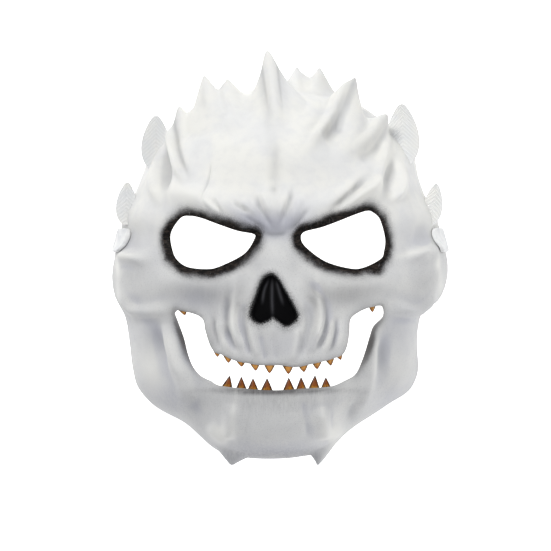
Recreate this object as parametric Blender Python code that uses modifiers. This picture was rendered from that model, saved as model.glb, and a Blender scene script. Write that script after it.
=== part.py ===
"""Skull mask of moulded foam, lying on its rim with the face up.

Metres. +Z points out of the face, +Y to the forehead, +X to the right as one looks at the face. The
origin is under the middle of the mask, in the plane of the rim.

Lengths in the tables are shares: across is a share of HALF_WIDTH, up is a share of HALF_HEIGHT, and
rise, dip and high are shares of DEPTH.
"""
import math
from collections import namedtuple

import bmesh
import bpy
import numpy as np
from mathutils import Vector

# Driving sizes
HALF_WIDTH = 0.1145
HALF_HEIGHT = 0.1395
DEPTH = 0.100
WALL = 0.0035
FIN_THICKNESS = 0.0040
FANG_THICKNESS = 0.0030
GAP = 0.0003

STRAP_WIDTH = 0.016
STRAP_THICKNESS = 0.0015
STRAP_TUNNEL_HEIGHT = 0.0032
STRAP_SIDE_ROOM = 0.0030
TAB_WIDTH = 0.0165
TAB_LENGTH = 0.024
TAB_THICKNESS = 0.0030
TAB_CORNER = 0.0045

# How finely the shell is made
SHELL_CELLS = 40
FRONT_DENSITY = 0.68
EYE_STEPS = 28
NOSE_STEPS = 30
RIM_TRIM = 0.006
RIM_RING = 0.9995
RIM_FADE = 0.08
OUTLINE_SHARPNESS = 5
CORE_BITE = 0.6
NORMAL_STEP = 0.004
RING_TRIES = 8
WALL_SAMPLES = 400
BED_SAMPLES = 7
CUTTER_REACH = 0.060
MERGE_DISTANCE = 0.00001

# Outline of the shell from the front, anticlockwise from the right cheek
Outline = namedtuple("Outline", "across up")
OUTLINE = (
    Outline(0.988, -0.030),
    Outline(0.948, 0.105),
    Outline(0.922, 0.201),
    Outline(0.842, 0.326),
    Outline(0.813, 0.398),
    Outline(0.789, 0.494),
    Outline(0.715, 0.580),
    Outline(0.637, 0.640),
    Outline(0.550, 0.700),
    Outline(0.433, 0.760),
    Outline(0.251, 0.812),
    Outline(0.029, 0.840),
    Outline(-0.222, 0.810),
    Outline(-0.409, 0.772),
    Outline(-0.550, 0.714),
    Outline(-0.661, 0.620),
    Outline(-0.778, 0.494),
    Outline(-0.825, 0.398),
    Outline(-0.870, 0.307),
    Outline(-0.942, 0.201),
    Outline(-0.945, 0.134),
    Outline(-0.984, 0.010),
    Outline(-1.000, -0.100),
    Outline(-0.984, -0.182),
    Outline(-0.926, -0.278),
    Outline(-0.895, -0.417),
    Outline(-0.877, -0.537),
    Outline(-0.855, -0.612),
    Outline(-0.784, -0.691),
    Outline(-0.567, -0.801),
    Outline(-0.345, -0.945),
    Outline(-0.210, -0.968),
    Outline(-0.058, -0.974),
    Outline(0.110, -0.964),
    Outline(0.290, -0.925),
    Outline(0.380, -0.854),
    Outline(0.626, -0.715),
    Outline(0.785, -0.612),
    Outline(0.812, -0.545),
    Outline(0.807, -0.440),
    Outline(0.812, -0.340),
    Outline(0.842, -0.262),
    Outline(0.930, -0.206),
    Outline(0.980, -0.115),
)

# How the dome leaves the middle of the face and drops to the rim, by bearing from the right cheek
Roundness = namedtuple("Roundness", "bearing flatness fullness")
ROUNDNESS = (
    Roundness(0.0, 1.90, 2.00),
    Roundness(45.0, 2.00, 2.05),
    Roundness(90.0, 2.20, 2.10),
    Roundness(135.0, 2.00, 2.05),
    Roundness(180.0, 1.90, 2.00),
    Roundness(222.0, 2.50, 2.20),
    Roundness(250.0, 4.20, 2.50),
    Roundness(270.0, 5.50, 2.60),
    Roundness(290.0, 4.20, 2.50),
    Roundness(318.0, 2.50, 2.20),
)

# Broad swells and hollows of the face
Form = namedtuple("Form", "name across up half_across half_up turn rise")
FORMS = (
    Form("forehead", -0.03, 0.53, 0.50, 0.26, 0, 0.020),
    Form("brow_left", -0.43, 0.265, 0.27, 0.065, -20, 0.070),
    Form("brow_right", 0.38, 0.275, 0.27, 0.065, 20, 0.075),
    Form("brow_middle", -0.03, 0.215, 0.14, 0.090, 0, 0.050),
    Form("nose_root", -0.035, 0.110, 0.09, 0.035, 0, -0.025),
    Form("socket_left", -0.42, 0.065, 0.27, 0.120, -6, -0.080),
    Form("socket_right", 0.38, 0.080, 0.27, 0.120, 8, -0.080),
    Form("nose_bridge", -0.035, 0.000, 0.08, 0.090, 0, 0.040),
    Form("upper_jaw", -0.04, -0.345, 0.31, 0.200, 0, 0.085),
    Form("under_eye_left", -0.47, -0.130, 0.22, 0.055, -8, 0.030),
    Form("under_eye_right", 0.43, -0.120, 0.22, 0.055, 8, 0.030),
    Form("cheekbone_left", -0.86, -0.110, 0.16, 0.120, 0, 0.040),
    Form("cheekbone_right", 0.84, -0.090, 0.14, 0.120, 0, 0.040),
    Form("cheek_hollow_left", -0.60, -0.320, 0.12, 0.110, 20, -0.040),
    Form("cheek_hollow_right", 0.54, -0.320, 0.12, 0.110, -20, -0.040),
    Form("temple_left", -0.685, 0.400, 0.045, 0.110, 4, -0.055),
    Form("temple_right", 0.640, 0.390, 0.050, 0.100, -24, -0.055),
    Form("side_facet_left", -0.87, 0.110, 0.075, 0.085, 0, -0.035),
    Form("side_facet_right", 0.84, 0.115, 0.060, 0.075, 0, -0.030),
    Form("jaw_hollow_left", -0.73, -0.430, 0.065, 0.130, 10, -0.050),
    Form("jaw_hollow_right", 0.63, -0.470, 0.070, 0.130, -10, -0.050),
    Form("chin", -0.03, -0.780, 0.30, 0.140, 0, 0.060),
    Form("lower_lip", -0.03, -0.645, 0.34, 0.040, 0, 0.020),
    Form("chin_side_left", -0.45, -0.730, 0.10, 0.110, 30, -0.030),
    Form("chin_side_right", 0.40, -0.730, 0.10, 0.110, -30, -0.030),
)

# Ribs and folds that run along a line of points (across, up)
Fold = namedtuple("Fold", "name points half_width rise")
FOLDS = (
    Fold("crest_middle", ((-0.05, 0.86), (-0.03, 0.76), (-0.03, 0.62)), 0.050, 0.045),
    Fold("crest_groove", ((-0.03, 0.54), (-0.05, 0.34)), 0.050, -0.025),
    Fold("crest_left", ((-0.34, 0.80), (-0.31, 0.72), (-0.28, 0.60)), 0.050, 0.030),
    Fold("crest_outer_left", ((-0.61, 0.72), (-0.63, 0.60), (-0.59, 0.45), (-0.53, 0.36)), 0.045, 0.035),
    Fold("crest_right", ((0.42, 0.82), (0.34, 0.74), (0.28, 0.62), (0.16, 0.48)), 0.055, 0.045),
    Fold("crest_hollow_right", ((0.36, 0.66), (0.24, 0.56)), 0.070, -0.050),
    Fold("crest_outer_right", ((0.61, 0.66), (0.54, 0.58), (0.44, 0.50)), 0.050, 0.040),
    Fold("cheek_edge_left", ((-0.99, -0.01), (-0.88, 0.01), (-0.74, -0.02)), 0.045, 0.035),
    Fold("cheek_edge_right", ((0.95, 0.03), (0.86, 0.03), (0.73, 0.00)), 0.045, 0.035),
    Fold("cheek_lower_left", ((-0.98, -0.15), (-0.84, -0.25), (-0.62, -0.24)), 0.045, 0.035),
    Fold("cheek_lower_right", ((0.94, -0.17), (0.80, -0.24), (0.60, -0.23)), 0.045, 0.035),
    Fold("lip_fold_left", ((-0.26, -0.13), (-0.34, -0.24), (-0.30, -0.38)), 0.040, 0.030),
    Fold("lip_fold_right", ((0.19, -0.13), (0.24, -0.24), (0.18, -0.42)), 0.040, 0.030),
    Fold("jaw_rib_left", ((-0.71, -0.30), (-0.63, -0.48), (-0.56, -0.60), (-0.54, -0.76)), 0.050, 0.035),
    Fold("jaw_rib_right", ((0.54, -0.42), (0.51, -0.58), (0.44, -0.76)), 0.050, 0.035),
    Fold("chin_rib_left", ((-0.28, -0.68), (-0.31, -0.86)), 0.045, 0.025),
    Fold("chin_rib_right", ((0.22, -0.70), (0.25, -0.87)), 0.045, 0.025),
)

# Openings and the nose, as closed lines of points (across, up)
EYE_LEFT = (
    (-0.644, 0.118), (-0.585, 0.192), (-0.527, 0.201), (-0.462, 0.190), (-0.380, 0.165),
    (-0.257, 0.130), (-0.162, 0.114), (-0.155, 0.091), (-0.216, 0.019), (-0.359, -0.041),
    (-0.440, -0.053), (-0.544, -0.043), (-0.605, -0.010), (-0.634, 0.038),
)
EYE_RIGHT = (
    (0.116, 0.097), (0.139, 0.125), (0.237, 0.146), (0.339, 0.177), (0.421, 0.204),
    (0.500, 0.225), (0.537, 0.218), (0.578, 0.184), (0.608, 0.094), (0.602, 0.034),
    (0.582, -0.004), (0.484, -0.045), (0.401, -0.050), (0.257, -0.016), (0.143, 0.053),
)
NOSE = (
    (-0.056, -0.080), (-0.105, -0.100), (-0.135, -0.167), (-0.167, -0.247), (-0.163, -0.286),
    (-0.119, -0.310), (-0.066, -0.291), (-0.047, -0.278), (-0.018, -0.297), (0.032, -0.322),
    (0.080, -0.297), (0.089, -0.263), (0.051, -0.199), (0.012, -0.143), (-0.018, -0.104),
)
UPPER_LIP = (
    (-0.621, -0.258), (-0.596, -0.252), (-0.498, -0.270), (-0.453, -0.297), (-0.442, -0.344),
    (-0.416, -0.411), (-0.386, -0.450), (-0.341, -0.463), (-0.275, -0.488), (-0.193, -0.503),
    (-0.113, -0.512), (-0.013, -0.512), (0.088, -0.521), (0.167, -0.508), (0.246, -0.494),
    (0.312, -0.479), (0.361, -0.460), (0.386, -0.417), (0.398, -0.355), (0.402, -0.301),
    (0.427, -0.273), (0.495, -0.243), (0.577, -0.229),
)
LOWER_LIP = (
    (0.596, -0.246), (0.592, -0.283), (0.540, -0.326), (0.518, -0.374), (0.491, -0.448),
    (0.458, -0.521), (0.428, -0.561), (0.376, -0.585), (0.287, -0.614), (0.123, -0.623),
    (-0.035, -0.631), (-0.210, -0.623), (-0.357, -0.610), (-0.409, -0.588), (-0.468, -0.564),
    (-0.513, -0.521), (-0.543, -0.460), (-0.565, -0.387), (-0.595, -0.319),
)
NOSE_DEPTH = 0.0085

# Fangs, by where the root meets the lip and where the point is
Fang = namedtuple("Fang", "root_across root_up tip_across tip_up half_width")
UPPER_FANGS = (
    Fang(-0.566, -0.256, -0.557, -0.275, 0.024),
    Fang(-0.370, -0.452, -0.370, -0.474, 0.024),
    Fang(-0.306, -0.474, -0.304, -0.502, 0.029),
    Fang(-0.231, -0.494, -0.228, -0.520, 0.031),
    Fang(-0.150, -0.506, -0.147, -0.539, 0.031),
    Fang(-0.066, -0.510, -0.064, -0.551, 0.034),
    Fang(0.042, -0.514, 0.047, -0.555, 0.034),
    Fang(0.128, -0.514, 0.131, -0.546, 0.031),
    Fang(0.208, -0.500, 0.211, -0.532, 0.031),
    Fang(0.284, -0.484, 0.292, -0.515, 0.029),
    Fang(0.338, -0.466, 0.345, -0.489, 0.024),
    Fang(0.532, -0.238, 0.534, -0.261, 0.022),
)
LOWER_FANGS = (
    Fang(-0.300, -0.614, -0.297, -0.561, 0.029),
    Fang(-0.231, -0.620, -0.229, -0.566, 0.026),
    Fang(-0.163, -0.624, -0.161, -0.573, 0.026),
    Fang(-0.082, -0.628, -0.078, -0.573, 0.029),
    Fang(0.046, -0.625, 0.046, -0.570, 0.028),
    Fang(0.118, -0.623, 0.119, -0.567, 0.026),
    Fang(0.193, -0.619, 0.195, -0.559, 0.027),
    Fang(0.262, -0.615, 0.260, -0.569, 0.029),
)

# Thorns, by the place of the root on the dome (bearing, ring from middle to rim) and the point
Thorn = namedtuple("Thorn", "name bearing ring tip_across tip_up tip_high half_width half_length")
THORNS = (
    Thorn("middle", 92.5, 0.885, -0.082, 1.000, 0.46, 0.150, 0.150),
    Thorn("left_inner", 110.0, 0.910, -0.316, 0.865, 0.42, 0.085, 0.100),
    Thorn("left", 122.0, 0.905, -0.453, 0.880, 0.42, 0.120, 0.130),
    Thorn("left_outer", 133.5, 0.935, -0.602, 0.734, 0.36, 0.075, 0.090),
    Thorn("back_inner", 83.0, 0.985, 0.094, 0.925, 0.24, 0.070, 0.080),
    Thorn("back_outer", 74.0, 0.985, 0.228, 0.923, 0.24, 0.080, 0.090),
    Thorn("right", 61.5, 0.905, 0.439, 0.868, 0.44, 0.115, 0.140),
    Thorn("right_outer", 46.5, 0.920, 0.626, 0.691, 0.42, 0.090, 0.110),
    Thorn("chin_left", 253.0, 0.985, -0.292, -1.000, 0.34, 0.080, 0.090),
    Thorn("chin_right", 286.5, 0.985, 0.220, -1.000, 0.34, 0.075, 0.090),
)
THORN_STAGES = (0.12, 0.30, 0.55, 0.80)
THORN_SIDES = 10
THORN_FLARE = 1.55
THORN_SINK = 0.55
FANG_STAGES = (0.5,)
FANG_SIDES = 6
FANG_ROOT = 0.018
FANG_SINK = 0.5

# Leaf-shaped fins behind the temples and the cheeks
Fin = namedtuple("Fin", "name root_across root_up root_high tip_across tip_up tip_high half_width")
FINS = (
    Fin("upper_right", 0.719, 0.440, 0.30, 0.713, 0.748, 0.20, 0.088),
    Fin("lower_right", 0.880, 0.160, 0.26, 0.918, 0.362, 0.18, 0.050),
    Fin("upper_left", -0.735, 0.420, 0.30, -0.737, 0.691, 0.20, 0.078),
    Fin("lower_left", -0.915, 0.160, 0.26, -0.906, 0.369, 0.18, 0.055),
)
FIN_POINTS = 14
FIN_POINT = 0.45

# Where the head strap meets the temples, and its route behind the face
STRAP_UP = 0.085
TAB_TOP_HIGH = 0.31
StrapStage = namedtuple("StrapStage", "across up lean")
STRAP_INSIDE = (
    StrapStage(0.880, 0.085, 0.0),
    StrapStage(0.825, 0.095, 10.0),
    StrapStage(0.765, 0.140, 45.0),
    StrapStage(0.705, 0.215, 80.0),
    StrapStage(0.625, 0.290, 90.0),
    StrapStage(0.480, 0.365, 90.0),
    StrapStage(0.320, 0.415, 90.0),
    StrapStage(0.160, 0.440, 90.0),
    StrapStage(0.000, 0.448, 90.0),
)
STRAP_WALL_STAGES = 4
STRAP_TURNS = (0.0, 45.0, 90.0)
STRAP_STEPS = 2
STRAP_BEND_HIGH = 0.0045
STRAP_LIFT = 0.0009
STRAP_START_GAP = 0.0004
SWEEP_STEP = 0.0005
TAB_SLICES = 6
TAB_STEEPNESS = 0.86
TAB_LIFT = 0.0006


def clear_scene():
    for item in list(bpy.data.objects):
        bpy.data.objects.remove(item, do_unlink=True)


def new_collection(name):
    collection = bpy.data.collections.new(name)
    bpy.context.scene.collection.children.link(collection)
    return collection


def material(name, color, roughness):
    surface = bpy.data.materials.new(name)
    surface.use_nodes = True
    shader = surface.node_tree.nodes["Principled BSDF"]
    shader.inputs["Base Color"].default_value = (*color, 1.0)
    shader.inputs["Roughness"].default_value = roughness
    shader.inputs["Metallic"].default_value = 0.0
    return surface


def add_mesh(name, bm, collection, surface=None):
    mesh = bpy.data.meshes.new(name)
    bm.to_mesh(mesh)
    bm.free()
    body = bpy.data.objects.new(name, mesh)
    collection.objects.link(body)
    if surface is not None:
        mesh.materials.append(surface)
    return body


def face_outwards(bm):
    bm.normal_update()
    bmesh.ops.recalc_face_normals(bm, faces=bm.faces)


def through_knots(place, knots, values):
    """Smooth curve through values at rising knots, read at place."""
    slope = np.gradient(values, knots)
    index = np.clip(np.searchsorted(knots, place, side="right") - 1, 0, len(knots) - 2)
    span = knots[index + 1] - knots[index]
    t = (place - knots[index]) / span
    start, end = values[index], values[index + 1]
    return (
        start * (2 * t**3 - 3 * t**2 + 1)
        + slope[index] * span * (t**3 - 2 * t**2 + t)
        + end * (3 * t**2 - 2 * t**3)
        + slope[index + 1] * span * (t**3 - t**2)
    )


def around(bearing, knots, values):
    """The same, for values that repeat every full turn. Bearings in radians."""
    turn = 2 * math.pi
    order = np.argsort(np.mod(knots, turn))
    ring = np.mod(knots, turn)[order]
    level = values[order]
    ring = np.concatenate([ring - turn, ring, ring + turn])
    level = np.concatenate([level, level, level])
    return through_knots(np.mod(bearing, turn), ring, level)


OUTLINE_SHARES = np.array([(row.across, row.up) for row in OUTLINE])
OUTLINE_BEARINGS = np.arctan2(OUTLINE_SHARES[:, 1], OUTLINE_SHARES[:, 0])
OUTLINE_REACH = np.hypot(OUTLINE_SHARES[:, 0], OUTLINE_SHARES[:, 1])
ROUND_BEARINGS = np.radians([row.bearing for row in ROUNDNESS])
FLATNESS = np.array([row.flatness for row in ROUNDNESS])
FULLNESS = np.array([row.fullness for row in ROUNDNESS])
OUTLINE_BLUR = np.radians((-24, -12, 0, 12, 24))


def outline_reach(bearing, ring):
    """How far the outline lies on a bearing. Its small steps fade towards the middle of the face."""
    sharp = around(bearing, OUTLINE_BEARINGS, OUTLINE_REACH)
    plain = sum(around(bearing + turn, OUTLINE_BEARINGS, OUTLINE_REACH) for turn in OUTLINE_BLUR)
    plain = plain / len(OUTLINE_BLUR)
    return plain + (sharp - plain) * ring**OUTLINE_SHARPNESS


def dome_point(bearing, ring):
    """Point of the plain dome. ring runs from 0 in the middle to 1 at the rim."""
    reach = outline_reach(bearing, ring) * ring
    flatness = around(bearing, ROUND_BEARINGS, FLATNESS)
    fullness = around(bearing, ROUND_BEARINGS, FULLNESS)
    high = np.clip(1.0 - ring**flatness, 0.0, 1.0) ** (1.0 / fullness)
    x = HALF_WIDTH * reach * np.cos(bearing)
    y = HALF_HEIGHT * reach * np.sin(bearing)
    return np.stack([x, y, DEPTH * high], axis=-1)


def dome_normal(bearing, ring):
    """Outward direction of the plain dome."""
    ring = np.clip(ring, 2 * NORMAL_STEP, 1.0 - NORMAL_STEP)
    along_ring = dome_point(bearing, ring + NORMAL_STEP) - dome_point(bearing, ring - NORMAL_STEP)
    along_bearing = dome_point(bearing + NORMAL_STEP, ring) - dome_point(bearing - NORMAL_STEP, ring)
    normal = np.cross(along_ring, along_bearing)
    return normal / np.linalg.norm(normal, axis=-1, keepdims=True)


def ring_at(x, y):
    """Bearing and ring of the dome point that is seen at x, y from the front."""
    across, up = x / HALF_WIDTH, y / HALF_HEIGHT
    bearing = np.arctan2(up, across)
    distance = np.hypot(across, up)
    ring = np.clip(distance, 0.0, 1.0)
    for _ in range(RING_TRIES):
        ring = np.clip(distance / outline_reach(bearing, ring), 0.0, RIM_RING)
    return bearing, ring


def segment_distance(x, y, start, end):
    """Distance from x, y to a straight piece, and how far along it the nearest point lies."""
    run = end - start
    t = ((x - start[0]) * run[0] + (y - start[1]) * run[1]) / run.dot(run)
    t = np.clip(t, 0.0, 1.0)
    return np.hypot(x - start[0] - t * run[0], y - start[1] - t * run[1]), t


def in_metres(points):
    return np.array([(across * HALF_WIDTH, up * HALF_HEIGHT) for across, up in points])


def smooth_loop(points, steps):
    """Closed smooth line through the points."""
    ring = np.array(points)
    count = len(ring)
    place = np.linspace(0, count, steps, endpoint=False)
    knots = np.arange(-count, 2 * count, dtype=float)
    columns = [through_knots(place, knots, np.tile(ring[:, axis], 3)) for axis in (0, 1)]
    return np.stack(columns, axis=-1)


def relief(x, y):
    """How far the moulded face stands out of the plain dome, seen at x, y from the front."""
    rise = np.zeros(np.shape(x))
    for form in FORMS:
        turn = math.radians(form.turn)
        away_x = x - form.across * HALF_WIDTH
        away_y = y - form.up * HALF_HEIGHT
        along = (away_x * math.cos(turn) + away_y * math.sin(turn)) / (form.half_across * HALF_WIDTH)
        beside = (away_y * math.cos(turn) - away_x * math.sin(turn)) / (form.half_up * HALF_HEIGHT)
        rise += form.rise * DEPTH * np.exp(-(along**2 + beside**2))
    for fold in FOLDS:
        line = in_metres(fold.points)
        away = np.full(np.shape(x), 1.0)
        for start, end in zip(line[:-1], line[1:]):
            away = np.minimum(away, segment_distance(x, y, start, end)[0])
        rise += fold.rise * DEPTH * np.exp(-((away / (fold.half_width * HALF_WIDTH)) ** 2))
    return rise


def rim_fade(ring):
    """1 over the face, falling to 0 at the rim, which keeps the plain outline."""
    t = np.clip((1.0 - ring) / RIM_FADE, 0.0, 1.0)
    return t * t * (3 - 2 * t)


def shell_point(bearing, ring, lift=0.0):
    """Point on the outside of the shell, raised by lift."""
    point = dome_point(bearing, ring)
    out = relief(point[..., 0], point[..., 1]) * rim_fade(ring) + lift
    return point + dome_normal(bearing, ring) * np.asarray(out)[..., None]


def dome_cells(cells):
    """Bearing and ring for each corner of a square grid that is drawn round into a disc."""
    side = np.linspace(-1.0, 1.0, cells + 1)
    u, v = np.meshgrid(side, side)
    disc_x = u * np.sqrt(1.0 - v**2 / 2)
    disc_y = v * np.sqrt(1.0 - u**2 / 2)
    radius = np.clip(np.hypot(disc_x, disc_y), 0.0, 1.0)
    angle = math.pi / 2 * (FRONT_DENSITY * radius + (1.0 - FRONT_DENSITY) * radius**3)
    return np.arctan2(disc_y, disc_x), np.sin(angle)


def dome_sheet(lift):
    """The face as one sheet of cells, at a distance from its outside, carried a little below the rim."""
    bearing, ring = dome_cells(SHELL_CELLS)
    points = shell_point(bearing, ring, lift).reshape(-1, 3)
    points[(ring > RIM_RING).reshape(-1), 2] -= RIM_TRIM
    bm = bmesh.new()
    bmesh.ops.create_grid(bm, x_segments=SHELL_CELLS, y_segments=SHELL_CELLS, size=1.0)
    for vert in bm.verts:
        column = round((vert.co.x + 1.0) / 2 * SHELL_CELLS)
        row = round((vert.co.y + 1.0) / 2 * SHELL_CELLS)
        vert.co = Vector(points[row * (SHELL_CELLS + 1) + column])
    return bm


def skin(collection, surface):
    """Outside of the face, with its wall added inwards."""
    shell = add_mesh("mask_shell", dome_sheet(0.0), collection, surface)
    wall = shell.modifiers.new("wall", "SOLIDIFY")
    wall.thickness = WALL
    wall.offset = -1.0
    shell.modifiers.new("flat_facets", "TRIANGULATE")
    return shell


def hollow_core(collection):
    """Closed body of the hollow, reaching part of the way into the wall."""
    bm = dome_sheet(-WALL * CORE_BITE)
    edges = [edge for edge in bm.edges if edge.is_boundary]
    grown = bmesh.ops.extrude_edge_only(bm, edges=edges)["geom"]
    low = [item for item in grown if isinstance(item, bmesh.types.BMVert)]
    for vert in low:
        vert.co.z = -2 * RIM_TRIM
    bmesh.ops.holes_fill(bm, edges=[edge for edge in bm.edges if edge.is_boundary])
    bmesh.ops.triangulate(bm, faces=bm.faces)
    face_outwards(bm)
    return add_mesh("hollow_core", bm, collection)


def prism(name, outline, low, high, collection):
    """Flat outline drawn out between two heights."""
    sheet = bpy.data.curves.new(name, "CURVE")
    sheet.dimensions = "2D"
    sheet.fill_mode = "BOTH"
    sheet.extrude = (high - low) / 2
    line = sheet.splines.new("POLY")
    line.points.add(len(outline) - 1)
    for point, place in zip(line.points, outline):
        point.co = (place[0], place[1], 0.0, 1.0)
    line.use_cyclic_u = True
    drawn = bpy.data.objects.new(name + "_curve", sheet)
    drawn.location = (0.0, 0.0, (high + low) / 2)
    collection.objects.link(drawn)
    bpy.context.view_layer.update()
    mesh = bpy.data.meshes.new_from_object(drawn.evaluated_get(bpy.context.evaluated_depsgraph_get()))
    mesh.transform(drawn.matrix_world)
    bpy.data.objects.remove(drawn, do_unlink=True)
    bm = bmesh.new()
    bm.from_mesh(mesh)
    bpy.data.meshes.remove(mesh)
    bmesh.ops.remove_doubles(bm, verts=bm.verts, dist=MERGE_DISTANCE)
    face_outwards(bm)
    return add_mesh(name, bm, collection)


def surface_high(x, y):
    """Height of the outside of the shell over a place on the rim plane."""
    return float(shell_point(*ring_at(np.array(x), np.array(y)))[2])


def nose_pocket(collection):
    """Cup that closes the back of the nose, and the cutter that hollows it from the front."""
    outline = smooth_loop(in_metres(NOSE), NOSE_STEPS)
    middle = outline.mean(axis=0)
    away = outline - middle
    reach = np.linalg.norm(away, axis=1, keepdims=True)
    outer = middle + away * (reach + WALL) / reach
    floor = min(surface_high(x, y) for x, y in outline) - NOSE_DEPTH
    cup = prism("nose_cup", outer, floor - WALL, floor + WALL, collection)
    for vert in cup.data.vertices:
        if vert.co.z > floor:
            vert.co.z = surface_high(vert.co.x, vert.co.y) - WALL / 2
    return cup, prism("nose_cutter", outline, floor, floor + CUTTER_REACH, collection)


def slab_cutter(name, y, tall, top, collection):
    """Slab right across the mask, from well below the rim plane up to a height."""
    bm = bmesh.new()
    made = bmesh.ops.create_cube(bm, size=1.0)["verts"]
    low = -2 * RIM_TRIM
    bmesh.ops.scale(bm, vec=(3 * HALF_WIDTH, tall, top - low), verts=made)
    bmesh.ops.translate(bm, vec=(0.0, y, (top + low) / 2), verts=made)
    return add_mesh(name, bm, collection)


def unit_spire(sides, stages):
    """Upright cone of radius 1 and height 1, cut into stages of its height."""
    bm = bmesh.new()
    made = bmesh.ops.create_cone(
        bm, cap_ends=True, cap_tris=True, segments=sides, radius1=1.0, radius2=0.0, depth=1.0
    )["verts"]
    bmesh.ops.translate(bm, vec=(0.0, 0.0, 0.5), verts=made)
    bmesh.ops.remove_doubles(bm, verts=bm.verts, dist=MERGE_DISTANCE)
    for high in stages:
        everything = list(bm.verts) + list(bm.edges) + list(bm.faces)
        bmesh.ops.bisect_plane(bm, geom=everything, plane_co=(0, 0, high), plane_no=(0, 0, 1))
    return bm


def merge_into(bm, part):
    """Adds a finished body to another mesh."""
    face_outwards(part)
    mesh = bpy.data.meshes.new("merged")
    part.to_mesh(mesh)
    part.free()
    bm.from_mesh(mesh)
    bpy.data.meshes.remove(mesh)


def add_thorn(bm, row):
    """Thorn with a broad root on the shell, drawn out to a fine point."""
    bearing, ring = np.array(math.radians(row.bearing)), np.array(row.ring)
    out = dome_normal(bearing, ring)
    root = shell_point(bearing, ring) - out * WALL * THORN_SINK
    tip = np.array((row.tip_across * HALF_WIDTH, row.tip_up * HALF_HEIGHT, row.tip_high * DEPTH))
    beside = np.cross(out, tip - root)
    beside /= np.linalg.norm(beside)
    back = np.cross(out, beside)
    part = unit_spire(THORN_SIDES, THORN_STAGES)
    for vert in part.verts:
        high = vert.co.z
        size = (1.0 - high) ** (THORN_FLARE - 1.0) if high < 1.0 else 0.0
        wide = vert.co.x * size * row.half_width * HALF_WIDTH
        deep = vert.co.y * size * row.half_length * HALF_WIDTH
        vert.co = Vector(root + (tip - root) * high + beside * wide + back * deep)
    merge_into(bm, part)


def add_fang(bm, row):
    """Flat fang whose root is buried in the lip."""
    root = np.array((row.root_across * HALF_WIDTH, row.root_up * HALF_HEIGHT))
    tip = np.array((row.tip_across * HALF_WIDTH, row.tip_up * HALF_HEIGHT))
    along = (tip - root) / np.linalg.norm(tip - root)
    root = root - along * FANG_ROOT * HALF_WIDTH
    bearing, ring = ring_at(root[0], root[1])
    high = shell_point(bearing, ring)[2] - WALL * FANG_SINK
    part = unit_spire(FANG_SIDES, FANG_STAGES)
    for vert in part.verts:
        share = vert.co.z
        place = root + (tip - root) * share
        place = place + np.array((-along[1], along[0])) * vert.co.x * row.half_width * HALF_WIDTH
        vert.co = Vector((place[0], place[1], high + vert.co.y * FANG_THICKNESS / 2))
    merge_into(bm, part)


def add_fin(bm, row):
    """Upright leaf that stands out behind the side of the face."""
    root = np.array((row.root_across * HALF_WIDTH, row.root_up * HALF_HEIGHT))
    tip = np.array((row.tip_across * HALF_WIDTH, row.tip_up * HALF_HEIGHT))
    along = tip - root
    beside = np.array((along[1], -along[0])) / np.linalg.norm(along)
    part = bmesh.new()
    ring = bmesh.ops.create_circle(part, cap_ends=True, segments=FIN_POINTS, radius=1.0)["verts"]
    for vert in ring:
        share = (vert.co.y + 1.0) / 2
        width = vert.co.x * (1.0 - FIN_POINT * share**2) * row.half_width * HALF_WIDTH
        place = root + along * share + beside * width
        high = (row.root_high + (row.tip_high - row.root_high) * share) * DEPTH
        vert.co = Vector((place[0], place[1], high - FIN_THICKNESS / 2))
    grown = bmesh.ops.extrude_face_region(part, geom=list(part.faces), use_keep_orig=True)["geom"]
    upper = [item for item in grown if isinstance(item, bmesh.types.BMVert)]
    bmesh.ops.translate(part, vec=(0.0, 0.0, FIN_THICKNESS), verts=upper)
    merge_into(bm, part)


def use_cutter(body, cutter, operation, name):
    cutter.hide_render = True
    cutter.display_type = "WIRE"
    change = body.modifiers.new(name, "BOOLEAN")
    change.operation = operation
    change.solver = "EXACT"
    change.object = cutter


def make_shell(parts, cutters):
    shell = skin(parts, material("white_foam", (0.86, 0.86, 0.85), 0.62))
    rim = slab_cutter("rim_cutter", 0.0, 3 * HALF_HEIGHT, 0.0, cutters)
    tunnel_width = STRAP_WIDTH + 2 * STRAP_SIDE_ROOM
    tunnel = slab_cutter("tunnel_cutter", STRAP_UP * HALF_HEIGHT, tunnel_width, STRAP_TUNNEL_HEIGHT, cutters)
    use_cutter(shell, rim, "DIFFERENCE", "rim")
    use_cutter(shell, tunnel, "DIFFERENCE", "tunnel")
    eye_left = smooth_loop(in_metres(EYE_LEFT), EYE_STEPS)
    eye_right = smooth_loop(in_metres(EYE_RIGHT), EYE_STEPS)
    mouth = in_metres(UPPER_LIP + LOWER_LIP)
    for name, outline in (("eye_left", eye_left), ("eye_right", eye_right), ("mouth", mouth)):
        cutter = prism(name + "_cutter", outline, DEPTH - CUTTER_REACH, DEPTH + CUTTER_REACH, cutters)
        use_cutter(shell, cutter, "DIFFERENCE", name)
    cup, nose = nose_pocket(cutters)
    use_cutter(shell, cup, "UNION", "nose_cup")
    use_cutter(shell, nose, "DIFFERENCE", "nose")
    crest = bmesh.new()
    for row in THORNS:
        add_thorn(crest, row)
    for row in FINS:
        add_fin(crest, row)
    crest = add_mesh("crest", crest, cutters)
    use_cutter(crest, hollow_core(cutters), "DIFFERENCE", "hollow")
    crest.modifiers["hollow"].use_self = True
    use_cutter(shell, crest, "UNION", "crest")
    fangs = bmesh.new()
    for row in UPPER_FANGS + LOWER_FANGS:
        add_fang(fangs, row)
    use_cutter(shell, add_mesh("fangs", fangs, cutters), "UNION", "fangs")
    shell.modifiers.new("closing_facets", "TRIANGULATE")
    return shell


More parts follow.
